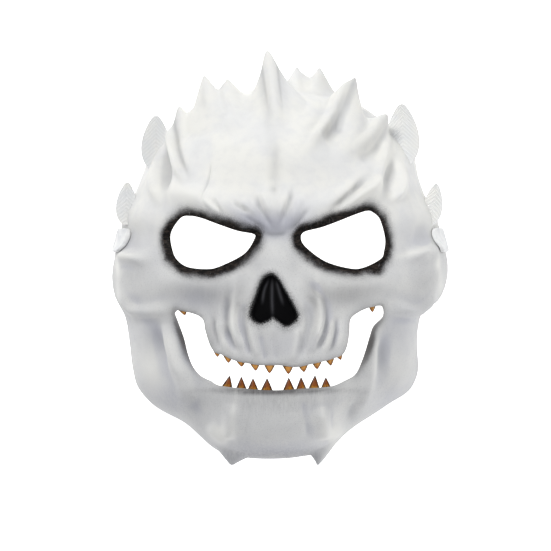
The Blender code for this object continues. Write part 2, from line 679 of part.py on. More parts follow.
def block(slices_x, slices_y):
    """Cube from -0.5 to 0.5, sliced into strips both ways."""
    bm = bmesh.new()
    bmesh.ops.create_cube(bm, size=1.0)
    for count, direction in ((slices_x, Vector((1, 0, 0))), (slices_y, Vector((0, 1, 0)))):
        for step in range(1, count):
            everything = list(bm.verts) + list(bm.edges) + list(bm.faces)
            place = direction * (step / count - 0.5)
            bmesh.ops.bisect_plane(bm, geom=everything, plane_co=place, plane_no=direction)
    return bm


def wall_point(side, y, high, lift=0.0):
    """Point on the outside of a side wall, at a height above the rim."""
    edge = np.sin(np.linspace(0.5, math.pi / 2, WALL_SAMPLES))
    bearing = np.full(edge.shape, 0.0 if side > 0 else math.pi)
    for _ in range(RING_TRIES):
        lean = np.arcsin(np.clip(y / (outline_reach(bearing, edge) * edge * HALF_HEIGHT), -1.0, 1.0))
        bearing = lean if side > 0 else math.pi - lean
    ring = np.interp(-high, -dome_point(bearing, edge)[:, 2], edge)
    return shell_point(np.interp(ring, edge, bearing), ring, lift)


def wall_frame(side, high):
    """Middle of the strap's bed on a wall, the direction across it, the way out, and the clearance."""
    y = STRAP_UP * HALF_HEIGHT
    across = np.linspace(-0.5, 0.5, BED_SAMPLES) * STRAP_WIDTH
    bed = np.array([wall_point(side, y + step, high) for step in across])
    wide = bed[-1] - bed[0]
    wide /= np.linalg.norm(wide)
    down = wall_point(side, y, high * (1.0 - RIM_FADE)) - wall_point(side, y, high)
    out = np.cross(wide, down) * -side
    out /= np.linalg.norm(out)
    middle = wall_point(side, y, high)
    proud = max((point - middle).dot(out) for point in bed)
    return middle, wide, out, proud


def make_tab(side, name, parts, surface):
    """Rounded tab that lies on the side wall over the end of the strap."""
    bm = block(TAB_SLICES, TAB_SLICES)
    half = (TAB_LENGTH / 2, TAB_WIDTH / 2)
    for vert in bm.verts:
        corner = Vector((vert.co.x * TAB_LENGTH, vert.co.y * TAB_WIDTH))
        inner = Vector((half[0] - TAB_CORNER, half[1] - TAB_CORNER))
        past = Vector((abs(corner.x) - inner.x, abs(corner.y) - inner.y))
        if past.x > 0 and past.y > 0:
            longest = max(past.x, past.y)
            rounded = past * (longest / past.length)
            corner.x = math.copysign(inner.x + rounded.x, corner.x)
            corner.y = math.copysign(inner.y + rounded.y, corner.y)
        high = TAB_TOP_HIGH * DEPTH - (TAB_LENGTH / 2 + corner.x) * TAB_STEEPNESS
        lift = TAB_LIFT + (vert.co.z + 0.5) * TAB_THICKNESS
        vert.co = Vector(wall_point(side, STRAP_UP * HALF_HEIGHT + corner.y, high, lift))
    face_outwards(bm)
    return add_mesh(name, bm, parts, surface)


def strap_route(side):
    """Middle line of the strap and the direction of its width, from a tab to the middle of its arch."""
    places, widths = [], []
    start_high = TAB_TOP_HIGH * DEPTH - TAB_LENGTH * TAB_STEEPNESS - STRAP_START_GAP
    for high in np.linspace(start_high, STRAP_BEND_HIGH, STRAP_WALL_STAGES):
        middle, wide, out, proud = wall_frame(side, high)
        places.append(middle + out * (proud + STRAP_LIFT + STRAP_THICKNESS / 2))
        widths.append(wide)
    middle, wide, out, proud = wall_frame(side, STRAP_TUNNEL_HEIGHT)
    radius = STRAP_TUNNEL_HEIGHT - STRAP_THICKNESS / 2 - GAP
    sideways = np.cross(wide, (0.0, 0.0, 1.0)) * side
    for turn in STRAP_TURNS:
        angle = math.radians(turn)
        place = middle + sideways * (proud + radius * math.cos(angle))
        place[2] = STRAP_TUNNEL_HEIGHT - radius * math.sin(angle)
        places.append(place)
        widths.append(wide)
    for stage in STRAP_INSIDE:
        lean = math.radians(stage.lean)
        high = (STRAP_WIDTH * math.sin(lean) + STRAP_THICKNESS * math.cos(lean)) / 2
        places.append((side * stage.across * HALF_WIDTH, stage.up * HALF_HEIGHT, high))
        widths.append((0.0, math.cos(lean), math.sin(lean)))
    return places, widths


def make_strap(parts, surface):
    """Flat elastic strap: down both side walls, beneath the rim, and in an arch on edge behind the face."""
    right_places, right_widths = strap_route(1)
    left_places, left_widths = strap_route(-1)
    places = np.array(right_places + left_places[-2::-1])
    widths = np.array(right_widths + left_widths[-2::-1])
    run = np.concatenate([[0.0], np.cumsum(np.linalg.norm(np.diff(places, axis=0), axis=1))])
    bm = block((len(places) - 1) * STRAP_STEPS, 1)
    for vert in bm.verts:
        s = np.interp((vert.co.x + 0.5) * (len(places) - 1), np.arange(len(places)), run)
        near = np.clip((s - SWEEP_STEP, s, s + SWEEP_STEP), 0.0, run[-1])
        swept = [through_knots(near, run, places[:, axis]) for axis in range(3)]
        behind, middle, ahead = np.stack(swept, axis=1)
        wide = np.array([np.interp(s, run, widths[:, axis]) for axis in range(3)])
        along = (ahead - behind) / np.linalg.norm(ahead - behind)
        thick = np.cross(along, wide)
        thick /= np.linalg.norm(thick)
        wide = np.cross(thick, along)
        half_high = (abs(wide[2]) * STRAP_WIDTH + abs(thick[2]) * STRAP_THICKNESS) / 2
        middle[2] = max(middle[2], half_high)
        vert.co = Vector(middle + wide * vert.co.y * STRAP_WIDTH + thick * vert.co.z * STRAP_THICKNESS)
    face_outwards(bm)
    return add_mesh("elastic_strap", bm, parts, surface)


def main():
    clear_scene()
    parts = new_collection("skull_mask")
    cutters = new_collection("cutters")
    make_shell(parts, cutters)
    elastic = material("white_elastic", (0.85, 0.85, 0.84), 0.75)
    make_tab(1, "strap_end_right", parts, elastic)
    make_tab(-1, "strap_end_left", parts, elastic)
    make_strap(parts, elastic)


main()
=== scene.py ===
"""Looks of the skull mask: a white foam moulding with an airbrushed face, on its elastic head strap.

Metres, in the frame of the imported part: the face looks up, the forehead points along +Y, and +X is the
right side as one looks at the face. In the tables across is a share of HALF_WIDTH, up a share of
HALF_HEIGHT, and rise and high are shares of DEPTH.
"""
import math
import random
from collections import namedtuple

import bmesh
import bpy
import numpy as np
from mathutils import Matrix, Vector


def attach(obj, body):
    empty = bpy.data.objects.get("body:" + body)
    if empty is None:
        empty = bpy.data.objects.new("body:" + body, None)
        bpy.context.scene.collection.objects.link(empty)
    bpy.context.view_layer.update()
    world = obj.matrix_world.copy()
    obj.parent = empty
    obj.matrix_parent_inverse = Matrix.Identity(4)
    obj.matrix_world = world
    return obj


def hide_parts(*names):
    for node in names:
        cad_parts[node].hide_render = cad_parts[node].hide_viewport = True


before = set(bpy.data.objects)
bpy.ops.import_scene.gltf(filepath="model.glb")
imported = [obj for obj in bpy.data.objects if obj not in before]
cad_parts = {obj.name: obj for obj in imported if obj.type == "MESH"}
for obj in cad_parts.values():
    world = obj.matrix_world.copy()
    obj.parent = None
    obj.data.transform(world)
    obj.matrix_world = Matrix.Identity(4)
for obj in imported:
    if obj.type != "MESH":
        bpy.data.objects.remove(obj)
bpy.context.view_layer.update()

# Driving sizes and steps, as in the part
HALF_WIDTH = 0.1145
HALF_HEIGHT = 0.1395
DEPTH = 0.100
WALL = 0.0035
FIN_THICKNESS = 0.0040
FANG_THICKNESS = 0.0034
NOSE_DEPTH = 0.0085
GAP = 0.0003
STRAP_WIDTH = 0.016
STRAP_THICKNESS = 0.0015
STRAP_TUNNEL_HEIGHT = 0.0032
STRAP_SIDE_ROOM = 0.0030
STRAP_UP = 0.085
TAB_WIDTH = 0.0165
TAB_LENGTH = 0.024
TAB_THICKNESS = 0.0030
TAB_CORNER = 0.0045
TAB_TOP_HIGH = 0.31
TAB_STEEPNESS = 0.86
TAB_LIFT = 0.0006
RIM_RING = 0.9995
RIM_FADE = 0.08
OUTLINE_SHARPNESS = 5
NORMAL_STEP = 0.004
RING_TRIES = 8

# The photograph's scale: metres of the face for one pixel, and the pixel over the middle of the face
PHOTO_PIXEL = 0.00067
PHOTO_X = 281.0
PHOTO_Y = 258.0
PHOTO_SIDE = 551

# How finely the skin is made
SKIN_CELLS = 160
FRONT_DENSITY = 0.72
EYE_STEPS = 150
NOSE_STEPS = 120
MOUTH_STEPS = 420
EDGE_PASSES = 5
EDGE_RINGS = 2
MEAN_STEPS = 8
CREASE_STEPS = 4
FOLD_STEPS = 3
FOLD_TAPER = 4
CREASE_REACH = 2.6
CUT_REACH = 0.014

# How the skin is moulded
EYE_ROLL = 0.0026
EYE_ROLL_REACH = 0.0062
LIP_ROLL = 0.0012
LIP_ROLL_REACH = 0.0035
NOSE_LIP = 0.0008
NOSE_LIP_REACH = 0.0022
NOSE_WALL = 0.0016
NOSE_EDGE_SHARE = 0.86
NOSE_FLOOR_REACH = 0.0064
LINING_REACH = 0.005
HOLLOW_CLOSE = 0.0022
HOLLOW_BROAD = 0.0075
THORN_SPREAD = 1.18
THORN_HOLLOW = 1.3
THORN_BLUNT = 0.10
THORN_SMOOTH = 0.5
THORN_FINE = 0.9
TUNNEL_CORNER = 0.0012
TUNNEL_FADE = 0.020
STEEPEST = 0.4

# Fangs, fins, tabs and strap
FANG_SIDES = 20
FANG_STAGES = 8
FANG_ROOT = 0.0022
FANG_SINK = 1.12
UPPER_FANG_WIDE = 1.18
LOWER_FANG_WIDE = 1.40
UPPER_FANG_FULL = 0.72
LOWER_FANG_FULL = 0.90
FANG_BEND = 0.0004
FANG_CURL = 0.0003
FIN_ACROSS = 36
FIN_ALONG = 90
FIN_POINT = 0.45
FIN_WIDE = 1.25
FIN_PITCH = 0.0025
FIN_HATCH = 0.00032
FIN_RAKE = 0.9
FIN_LEFT_HATCH = 0.4
FIN_THIN = 0.8
WALL_SAMPLES = 200
WALL_FIRST_ANGLE = 0.5
BED_SAMPLES = 7
TAB_CELLS = 14
TAB_EDGE = 0.0008
TAB_SHARP_ANGLE = 60
STRAP_CELLS = 560
STRAP_RIBS = 8
STRAP_RIB = 0.86
STRAP_SOFT_EDGE = 0.45
STRAP_EDGE_POWER = 6
STRAP_WALL_STAGES = 4
STRAP_TURNS = (0.0, 45.0, 90.0)
STRAP_BEND_HIGH = 0.0045
STRAP_LIFT = 0.0009
STRAP_START_GAP = 0.0004
STITCH = 0.0011
STITCH_DEPTH = 0.00025
GRAIN_DEPTH = 0.00012
MERGE_DISTANCE = 0.00001

# Strength of the paints on the face, of its painted shade and painted highlights, and how far some of them
# move, in metres
SHADE_GREY = 0.55
SHADE_BLUE = 0.55
PATCH_BLUE = 0.30
HIGHLIGHT_SHARE = 0.85
HOLLOW_SPECKLE = 0.0006
RIM_SPECKLE = 0.004
RIM_EXTRA = 0.0046
EYE_HAZE_MOST = 0.86
EYE_HAZE_OFF_HIGHLIGHT = 0.6
NOSE_HAZE_SHARE = 0.62
NOSE_HIGHLIGHT_SHARE = 0.5
LIP_SPRAY_LEAST = 0.15
LIP_SPRAY_MORE = 0.85
LIP_HAZE_SHARE = 0.66
SCUFF_AMOUNT = 0.55

# Gloss of the surfaces
NOSE_ROUGHER = 0.26
MOTTLE_ROUGHER = 0.16
FOAM_SPECULAR = 0.1
FANG_SPECULAR = 0.2
KNIT_SHEEN = 0.25
FLOOR_ROUGH = 0.9

# Coats of sprayed paint along an edge, in metres: how far one is full, its soft end, how it strays
Coat = namedtuple("Coat", "reach soft wander speckle")
EYE_HAZE = Coat(0.0006, 0.0095, 0.0040, 0.0080)
EYE_RIM = Coat(0.0010, 0.0052, 0.0060, 0.0034)
EYE_OVERSPRAY = Coat(0.0006, 0.0030, 0.0020, 0.0020)
NOSE_HAZE = Coat(-0.0005, 0.0060, 0.0020, 0.0090)
NOSE_COAT = Coat(-0.0004, 0.0026, 0.0016, 0.0062)
LIP_HAZE = Coat(0.0002, 0.0060, 0.0030, 0.0040)
LIP_LINE = Coat(-0.0008, 0.0036, 0.0040, 0.0024)

# Cloudy patterns: how fine they are, in how many layers, and how rough
Pattern = namedtuple("Pattern", "scale layers roughness", defaults=(0.55,))
FOAM_MOTTLE = Pattern(38.0, 4.0)
FOAM_CLOUDS = Pattern(150.0, 5.0, 0.65)
PAINT_SPECKLE = Pattern(1300.0, 2.0, 0.8)
BLUE_PATCHES = Pattern(22.0, 2.0)
BRUSH_STROKES = Pattern(1.0, 3.0)
BRUSH_HAIRS = Pattern(1.0, 3.0, 0.7)
SPRAY_DRIFT = Pattern(95.0, 2.0)
SPRAY_DOTS = Pattern(1500.0, 2.0, 0.8)
MOULD_WAVES = Pattern(160.0, 3.0)
FOAM_PORES = Pattern(1900.0, 2.0, 0.7)
SCUFF_LINES = Pattern(1.0, 2.0, 0.6)
SCUFF_PATCHES = Pattern(70.0, 2.0)
FIN_MOTTLE = Pattern(60.0, 3.0)
FANG_STAIN = Pattern(420.0, 3.0, 0.65)
FANG_STREAKS = Pattern(1.0, 2.0)
TAB_MOTTLE = Pattern(180.0, 3.0)
BAND_FUZZ = Pattern(2600.0, 2.0)
FLOOR_MOTTLE = Pattern(2.0, 2.0)
PIN_HOLE_SCALE = 420.0

# Streaky patterns are drawn out by these numbers along each axis, and the scuffs are turned in radians
STROKES_STRETCH = (900.0, 110.0, 300.0)
HAIRS_STRETCH = (260.0, 900.0, 300.0)
SCUFF_STRETCH = (1500.0, 120.0, 300.0)
SCUFF_TURN = 0.7
FANG_STRETCH = (1400.0, 220.0, 220.0)

# Soft steps: between low and high a value turns from the share at the start into the share at the end
Ramp = namedtuple("Ramp", "low high start end", defaults=(0.0, 1.0))
FOAM_TINT = Ramp(0.35, 0.65)
CLOUD_GREY = Ramp(0.42, 0.72, 0.0, 0.16)
LOW_FACE = Ramp(0.004, 0.046, 1.0, 0.0)
LOW_FACE_GREY = Ramp(0.25, 0.75, 0.60, 0.95)
SPECKLE_GREY = Ramp(0.54, 0.72, 0.0, 0.26)
STROKE_SIZE = Ramp(-0.092, -0.080, 1.8, 0.3)
BROAD_GREY = Ramp(0.0001, 0.0032, 0.0, 0.26)
BROAD_BLUE = Ramp(0.0, 0.0014)
BLUE_PATCH = Ramp(0.45, 0.62)
CLOSE_GREY = Ramp(0.00005, 0.0022, 0.0, 0.36)
RIM_GREY = Ramp(0.0, 0.014, 1.0, 0.0)
RIM_GREY_UP = Ramp(-0.110, 0.010, 0.85, 0.10)
HAIR_BROWN = Ramp(0.42, 0.72)
FACE_ROUGH = Ramp(0.0, 1.0, 0.62, 0.56)
SPRAY_END = Ramp(0.0, 1.0, 1.0, 0.0)
PIN_HOLE = Ramp(0.05, 0.16, -1.0, 0.0)
SCUFF_LINE = Ramp(0.60, 0.72)
SCUFF_PATCH = Ramp(0.50, 0.62)
SOFT_TINT = Ramp(0.3, 0.7)
HATCH_GREY = Ramp(-0.2, 0.9, 0.0, 0.07)
FIN_ROUGH = Ramp(0.2, 0.8, 0.56, 0.70)
FANG_BODY = Ramp(0.12, 0.45)
FANG_TIP = Ramp(0.55, 0.95)
FANG_STREAK = Ramp(0.52, 0.70, 0.0, 0.75)
FANG_SIDE_SHADE = Ramp(0.35, 0.95, 0.0, 0.90)
FANG_ROUGH = Ramp(0.3, 0.7, 0.30, 0.48)
TAB_ROUGH = Ramp(0.2, 0.8, 0.48, 0.62)
KNIT_HOLLOW_SHADE = Ramp(-0.9, 0.6)
FUZZ_SHADE = Ramp(0.35, 0.75, 0.0, 0.25)
KNIT_ROUGH = Ramp(0.2, 0.8, 0.78, 0.92)
FLOOR_LIGHT = Ramp(0.0, 1.0, 0.55, 1.2)

# How much the stains stray along a fang, and what makes up the knit's height
FANG_WOBBLE = 0.7
STITCH_LEAN = 0.35
KNIT_RIB_SHARE = 0.6
KNIT_STITCH_SHARE = 0.4
FUZZ_HIGH = 0.3

# Grain that the mould and the pores leave
Grain = namedtuple("Grain", "waves pores")
FACE_GRAIN = Grain(0.55, 0.40)
FIN_GRAIN = Grain(0.40, 0.40)
FANG_GRAIN = Grain(0.80, 0.30)
TAB_GRAIN = Grain(0.30, 0.50)

# Studio
FLOOR_SIDE = 8.0
FLOOR_DROP = 0.0003
CAMERA_HIGH = 5.0
CAMERA_FOCUS_HIGH = 0.06
CAMERA_SENSOR = 36.0
WORLD_COLOUR = (0.93, 0.95, 1.0)
WORLD_STRENGTH = 0.34
Softbox = namedtuple("Softbox", "name place side power")
SOFTBOXES = (
    Softbox("key", (-0.9, 1.6, 2.3), 0.8, 45.0),
    Softbox("fill", (1.5, -0.7, 2.0), 1.4, 20.0),
)

# Outline of the mask from the front, anticlockwise from the right cheek
Outline = namedtuple("Outline", "across up")
OUTLINE = (
    Outline(0.988, -0.030),
    Outline(0.948, 0.105),
    Outline(0.922, 0.201),
    Outline(0.842, 0.326),
    Outline(0.813, 0.398),
    Outline(0.789, 0.494),
    Outline(0.715, 0.580),
    Outline(0.637, 0.640),
    Outline(0.550, 0.700),
    Outline(0.433, 0.760),
    Outline(0.251, 0.812),
    Outline(0.029, 0.840),
    Outline(-0.222, 0.810),
    Outline(-0.409, 0.772),
    Outline(-0.550, 0.714),
    Outline(-0.661, 0.620),
    Outline(-0.778, 0.494),
    Outline(-0.825, 0.398),
    Outline(-0.870, 0.307),
    Outline(-0.942, 0.201),
    Outline(-0.945, 0.134),
    Outline(-0.984, 0.010),
    Outline(-1.000, -0.100),
    Outline(-0.984, -0.182),
    Outline(-0.926, -0.278),
    Outline(-0.895, -0.417),
    Outline(-0.877, -0.537),
    Outline(-0.855, -0.612),
    Outline(-0.784, -0.691),
    Outline(-0.567, -0.801),
    Outline(-0.345, -0.945),
    Outline(-0.210, -0.968),
    Outline(-0.058, -0.974),
    Outline(0.110, -0.964),
    Outline(0.290, -0.925),
    Outline(0.380, -0.854),
    Outline(0.626, -0.715),
    Outline(0.785, -0.612),
    Outline(0.812, -0.545),
    Outline(0.807, -0.440),
    Outline(0.812, -0.340),
    Outline(0.842, -0.262),
    Outline(0.930, -0.206),
    Outline(0.980, -0.115),
)

# How the dome leaves the middle of the face and drops to the rim, by bearing from the right cheek
Roundness = namedtuple("Roundness", "bearing flatness fullness")
ROUNDNESS = (
    Roundness(0.0, 1.90, 2.00),
    Roundness(45.0, 2.00, 2.05),
    Roundness(90.0, 2.20, 2.10),
    Roundness(135.0, 2.00, 2.05),
    Roundness(180.0, 1.90, 2.00),
    Roundness(222.0, 2.50, 2.20),
    Roundness(250.0, 4.20, 2.50),
    Roundness(270.0, 5.50, 2.60),
    Roundness(290.0, 4.20, 2.50),
    Roundness(318.0, 2.50, 2.20),
)

# Broad swells and hollows of the face
Form = namedtuple("Form", "name across up half_across half_up turn rise")
FORMS = (
    Form("forehead", -0.03, 0.53, 0.50, 0.26, 0, 0.020),
    Form("brow_left", -0.43, 0.265, 0.27, 0.065, -20, 0.070),
    Form("brow_right", 0.38, 0.275, 0.27, 0.065, 20, 0.075),
    Form("brow_middle", -0.03, 0.215, 0.14, 0.090, 0, 0.050),
    Form("nose_root", -0.035, 0.110, 0.09, 0.035, 0, -0.025),
    Form("socket_left", -0.42, 0.065, 0.27, 0.120, -6, -0.080),
    Form("socket_right", 0.38, 0.080, 0.27, 0.120, 8, -0.080),
    Form("nose_bridge", -0.035, 0.000, 0.08, 0.090, 0, 0.040),
    Form("upper_jaw", -0.04, -0.345, 0.31, 0.200, 0, 0.085),
    Form("under_eye_left", -0.47, -0.130, 0.22, 0.055, -8, 0.030),
    Form("under_eye_right", 0.43, -0.120, 0.22, 0.055, 8, 0.030),
    Form("cheekbone_left", -0.86, -0.110, 0.16, 0.120, 0, 0.040),
    Form("cheekbone_right", 0.84, -0.090, 0.14, 0.120, 0, 0.040),
    Form("cheek_hollow_left", -0.60, -0.320, 0.12, 0.110, 20, -0.040),
    Form("cheek_hollow_right", 0.54, -0.320, 0.12, 0.110, -20, -0.040),
    Form("temple_left", -0.685, 0.400, 0.045, 0.110, 4, -0.055),
    Form("temple_right", 0.640, 0.390, 0.050, 0.100, -24, -0.055),
    Form("side_facet_left", -0.87, 0.110, 0.075, 0.085, 0, -0.035),
    Form("side_facet_right", 0.84, 0.115, 0.060, 0.075, 0, -0.030),
    Form("jaw_hollow_left", -0.73, -0.430, 0.065, 0.130, 10, -0.050),
    Form("jaw_hollow_right", 0.63, -0.470, 0.070, 0.130, -10, -0.050),
    Form("chin", -0.03, -0.780, 0.30, 0.140, 0, 0.060),
    Form("lower_lip", -0.03, -0.645, 0.34, 0.040, 0, 0.020),
    Form("chin_side_left", -0.45, -0.730, 0.10, 0.110, 30, -0.030),
    Form("chin_side_right", 0.40, -0.730, 0.10, 0.110, -30, -0.030),
)

# Ribs and folds that run along a line of points (across, up)
Fold = namedtuple("Fold", "name points half_width rise")
FOLDS = (
    Fold("crest_middle", ((-0.05, 0.86), (-0.03, 0.76), (-0.03, 0.62)), 0.050, 0.045),
    Fold("crest_groove", ((-0.03, 0.56), (-0.05, 0.32)), 0.050, -0.012),
    Fold("crest_left", ((-0.34, 0.80), (-0.31, 0.72), (-0.28, 0.60)), 0.050, 0.030),
    Fold("crest_outer_left", ((-0.61, 0.72), (-0.63, 0.60), (-0.59, 0.45), (-0.53, 0.36)), 0.045, 0.035),
    Fold("crest_right", ((0.42, 0.82), (0.34, 0.74), (0.28, 0.62), (0.16, 0.48)), 0.055, 0.045),
    Fold("crest_hollow_right", ((0.36, 0.66), (0.22, 0.54)), 0.060, -0.026),
    Fold("crest_outer_right", ((0.61, 0.66), (0.54, 0.58), (0.44, 0.50)), 0.050, 0.040),
    Fold("cheek_edge_left", ((-0.99, -0.01), (-0.88, 0.01), (-0.74, -0.02)), 0.045, 0.035),
    Fold("cheek_edge_right", ((0.95, 0.03), (0.86, 0.03), (0.73, 0.00)), 0.045, 0.035),
    Fold("cheek_lower_left", ((-0.98, -0.15), (-0.84, -0.25), (-0.62, -0.24)), 0.045, 0.035),
    Fold("cheek_lower_right", ((0.94, -0.17), (0.80, -0.24), (0.60, -0.23)), 0.045, 0.035),
    Fold("lip_fold_left", ((-0.26, -0.13), (-0.34, -0.24), (-0.30, -0.38)), 0.040, 0.030),
    Fold("lip_fold_right", ((0.19, -0.13), (0.24, -0.24), (0.18, -0.42)), 0.040, 0.030),
    Fold("jaw_rib_left", ((-0.71, -0.30), (-0.63, -0.48), (-0.56, -0.60), (-0.54, -0.76)), 0.050, 0.035),
    Fold("jaw_rib_right", ((0.54, -0.42), (0.51, -0.58), (0.44, -0.76)), 0.050, 0.035),
    Fold("chin_rib_left", ((-0.28, -0.68), (-0.31, -0.86)), 0.045, 0.025),
    Fold("chin_rib_right", ((0.22, -0.70), (0.25, -0.87)), 0.045, 0.025),
)

# Openings and the nose, as closed lines of points (across, up)
EYE_LEFT = (
    (-0.644, 0.118), (-0.585, 0.192), (-0.527, 0.201), (-0.462, 0.190), (-0.380, 0.165),
    (-0.257, 0.130), (-0.162, 0.114), (-0.155, 0.091), (-0.216, 0.019), (-0.359, -0.041),
    (-0.440, -0.053), (-0.544, -0.043), (-0.605, -0.010), (-0.634, 0.038),
)
EYE_RIGHT = (
    (0.116, 0.097), (0.139, 0.125), (0.237, 0.146), (0.339, 0.177), (0.421, 0.204),
    (0.500, 0.225), (0.537, 0.218), (0.578, 0.184), (0.608, 0.094), (0.602, 0.034),
    (0.582, -0.004), (0.484, -0.045), (0.401, -0.050), (0.257, -0.016), (0.143, 0.053),
)
NOSE = (
    (-0.056, -0.080), (-0.105, -0.100), (-0.135, -0.167), (-0.167, -0.247), (-0.163, -0.286),
    (-0.119, -0.310), (-0.066, -0.291), (-0.047, -0.278), (-0.018, -0.297), (0.032, -0.322),
    (0.080, -0.297), (0.089, -0.263), (0.051, -0.199), (0.012, -0.143), (-0.018, -0.104),
)
UPPER_LIP = (
    (-0.621, -0.258), (-0.596, -0.252), (-0.498, -0.270), (-0.453, -0.297), (-0.442, -0.344),
    (-0.416, -0.411), (-0.386, -0.450), (-0.341, -0.463), (-0.275, -0.488), (-0.193, -0.503),
    (-0.113, -0.512), (-0.013, -0.512), (0.088, -0.521), (0.167, -0.508), (0.246, -0.494),
    (0.312, -0.479), (0.361, -0.460), (0.386, -0.417), (0.398, -0.355), (0.402, -0.301),
    (0.427, -0.273), (0.495, -0.243), (0.577, -0.229),
)
LOWER_LIP = (
    (0.596, -0.246), (0.592, -0.283), (0.540, -0.326), (0.518, -0.374), (0.491, -0.448),
    (0.458, -0.521), (0.428, -0.561), (0.376, -0.585), (0.287, -0.614), (0.123, -0.623),
    (-0.035, -0.631), (-0.210, -0.623), (-0.357, -0.610), (-0.409, -0.588), (-0.468, -0.564),
    (-0.513, -0.521), (-0.543, -0.460), (-0.565, -0.387), (-0.595, -0.319),
)

# Fangs, by where the root meets the lip and where the point is
Fang = namedtuple("Fang", "root_across root_up tip_across tip_up half_width")
UPPER_FANGS = (
    Fang(-0.566, -0.256, -0.557, -0.275, 0.024),
    Fang(-0.370, -0.452, -0.370, -0.474, 0.024),
    Fang(-0.306, -0.474, -0.304, -0.502, 0.029),
    Fang(-0.231, -0.494, -0.228, -0.520, 0.031),
    Fang(-0.150, -0.506, -0.147, -0.539, 0.031),
    Fang(-0.066, -0.510, -0.064, -0.551, 0.034),
    Fang(0.042, -0.514, 0.047, -0.555, 0.034),
    Fang(0.128, -0.514, 0.131, -0.546, 0.031),
    Fang(0.208, -0.500, 0.211, -0.532, 0.031),
    Fang(0.284, -0.484, 0.292, -0.515, 0.029),
    Fang(0.338, -0.466, 0.345, -0.489, 0.024),
    Fang(0.532, -0.238, 0.534, -0.261, 0.022),
)
LOWER_FANGS = (
    Fang(-0.312, -0.614, -0.297, -0.561, 0.027),
    Fang(-0.231, -0.620, -0.229, -0.566, 0.026),
    Fang(-0.163, -0.624, -0.161, -0.573, 0.026),
    Fang(-0.082, -0.628, -0.078, -0.573, 0.029),
    Fang(0.046, -0.625, 0.046, -0.570, 0.028),
    Fang(0.118, -0.623, 0.119, -0.567, 0.026),
    Fang(0.193, -0.619, 0.195, -0.559, 0.027),
    Fang(0.262, -0.615, 0.260, -0.569, 0.025),
)

# Thorns, by the place of the root on the dome (bearing, ring from middle to rim) and the point
Thorn = namedtuple("Thorn", "name bearing ring tip_across tip_up tip_high half_width half_length")
THORNS = (
    Thorn("middle", 92.5, 0.885, -0.082, 1.000, 0.46, 0.150, 0.150),
    Thorn("left_inner", 110.0, 0.910, -0.316, 0.865, 0.42, 0.085, 0.100),
    Thorn("left", 122.0, 0.905, -0.453, 0.880, 0.42, 0.120, 0.130),
    Thorn("left_outer", 133.5, 0.935, -0.602, 0.734, 0.36, 0.075, 0.090),
    Thorn("back_inner", 83.0, 0.985, 0.094, 0.925, 0.24, 0.070, 0.080),
    Thorn("back_outer", 74.0, 0.985, 0.228, 0.923, 0.24, 0.080, 0.090),
    Thorn("right", 61.5, 0.905, 0.439, 0.868, 0.44, 0.115, 0.140),
    Thorn("right_outer", 46.5, 0.920, 0.626, 0.691, 0.42, 0.090, 0.110),
    Thorn("chin_left", 253.0, 0.985, -0.292, -1.000, 0.34, 0.080, 0.090),
    Thorn("chin_right", 286.5, 0.985, 0.220, -1.000, 0.34, 0.075, 0.090),
)

# Leaf-shaped fins behind the temples and the cheeks
Fin = namedtuple("Fin", "name root_across root_up root_high tip_across tip_up tip_high half_width")
FINS = (
    Fin("upper_right", 0.719, 0.440, 0.30, 0.713, 0.748, 0.20, 0.088),
    Fin("lower_right", 0.880, 0.160, 0.26, 0.918, 0.362, 0.18, 0.050),
    Fin("upper_left", -0.735, 0.420, 0.30, -0.737, 0.691, 0.20, 0.078),
    Fin("lower_left", -0.915, 0.160, 0.26, -0.906, 0.369, 0.18, 0.055),
)

# Route of the head strap behind the face
StrapStage = namedtuple("StrapStage", "across up lean")
STRAP_INSIDE = (
    StrapStage(0.880, 0.085, 0.0),
    StrapStage(0.825, 0.095, 10.0),
    StrapStage(0.765, 0.140, 45.0),
    StrapStage(0.705, 0.215, 80.0),
    StrapStage(0.625, 0.290, 90.0),
    StrapStage(0.480, 0.365, 90.0),
    StrapStage(0.320, 0.415, 90.0),
    StrapStage(0.160, 0.440, 90.0),
    StrapStage(0.000, 0.448, 90.0),
)

# Patches of the face with finer cells, by their edges on the photograph
Patch = namedtuple("Patch", "left top right bottom")
FINE_PATCHES = (
    Patch(176, 192, 384, 276),
    Patch(224, 268, 330, 332),
    Patch(160, 104, 214, 214),
    Patch(302, 104, 408, 210),
)

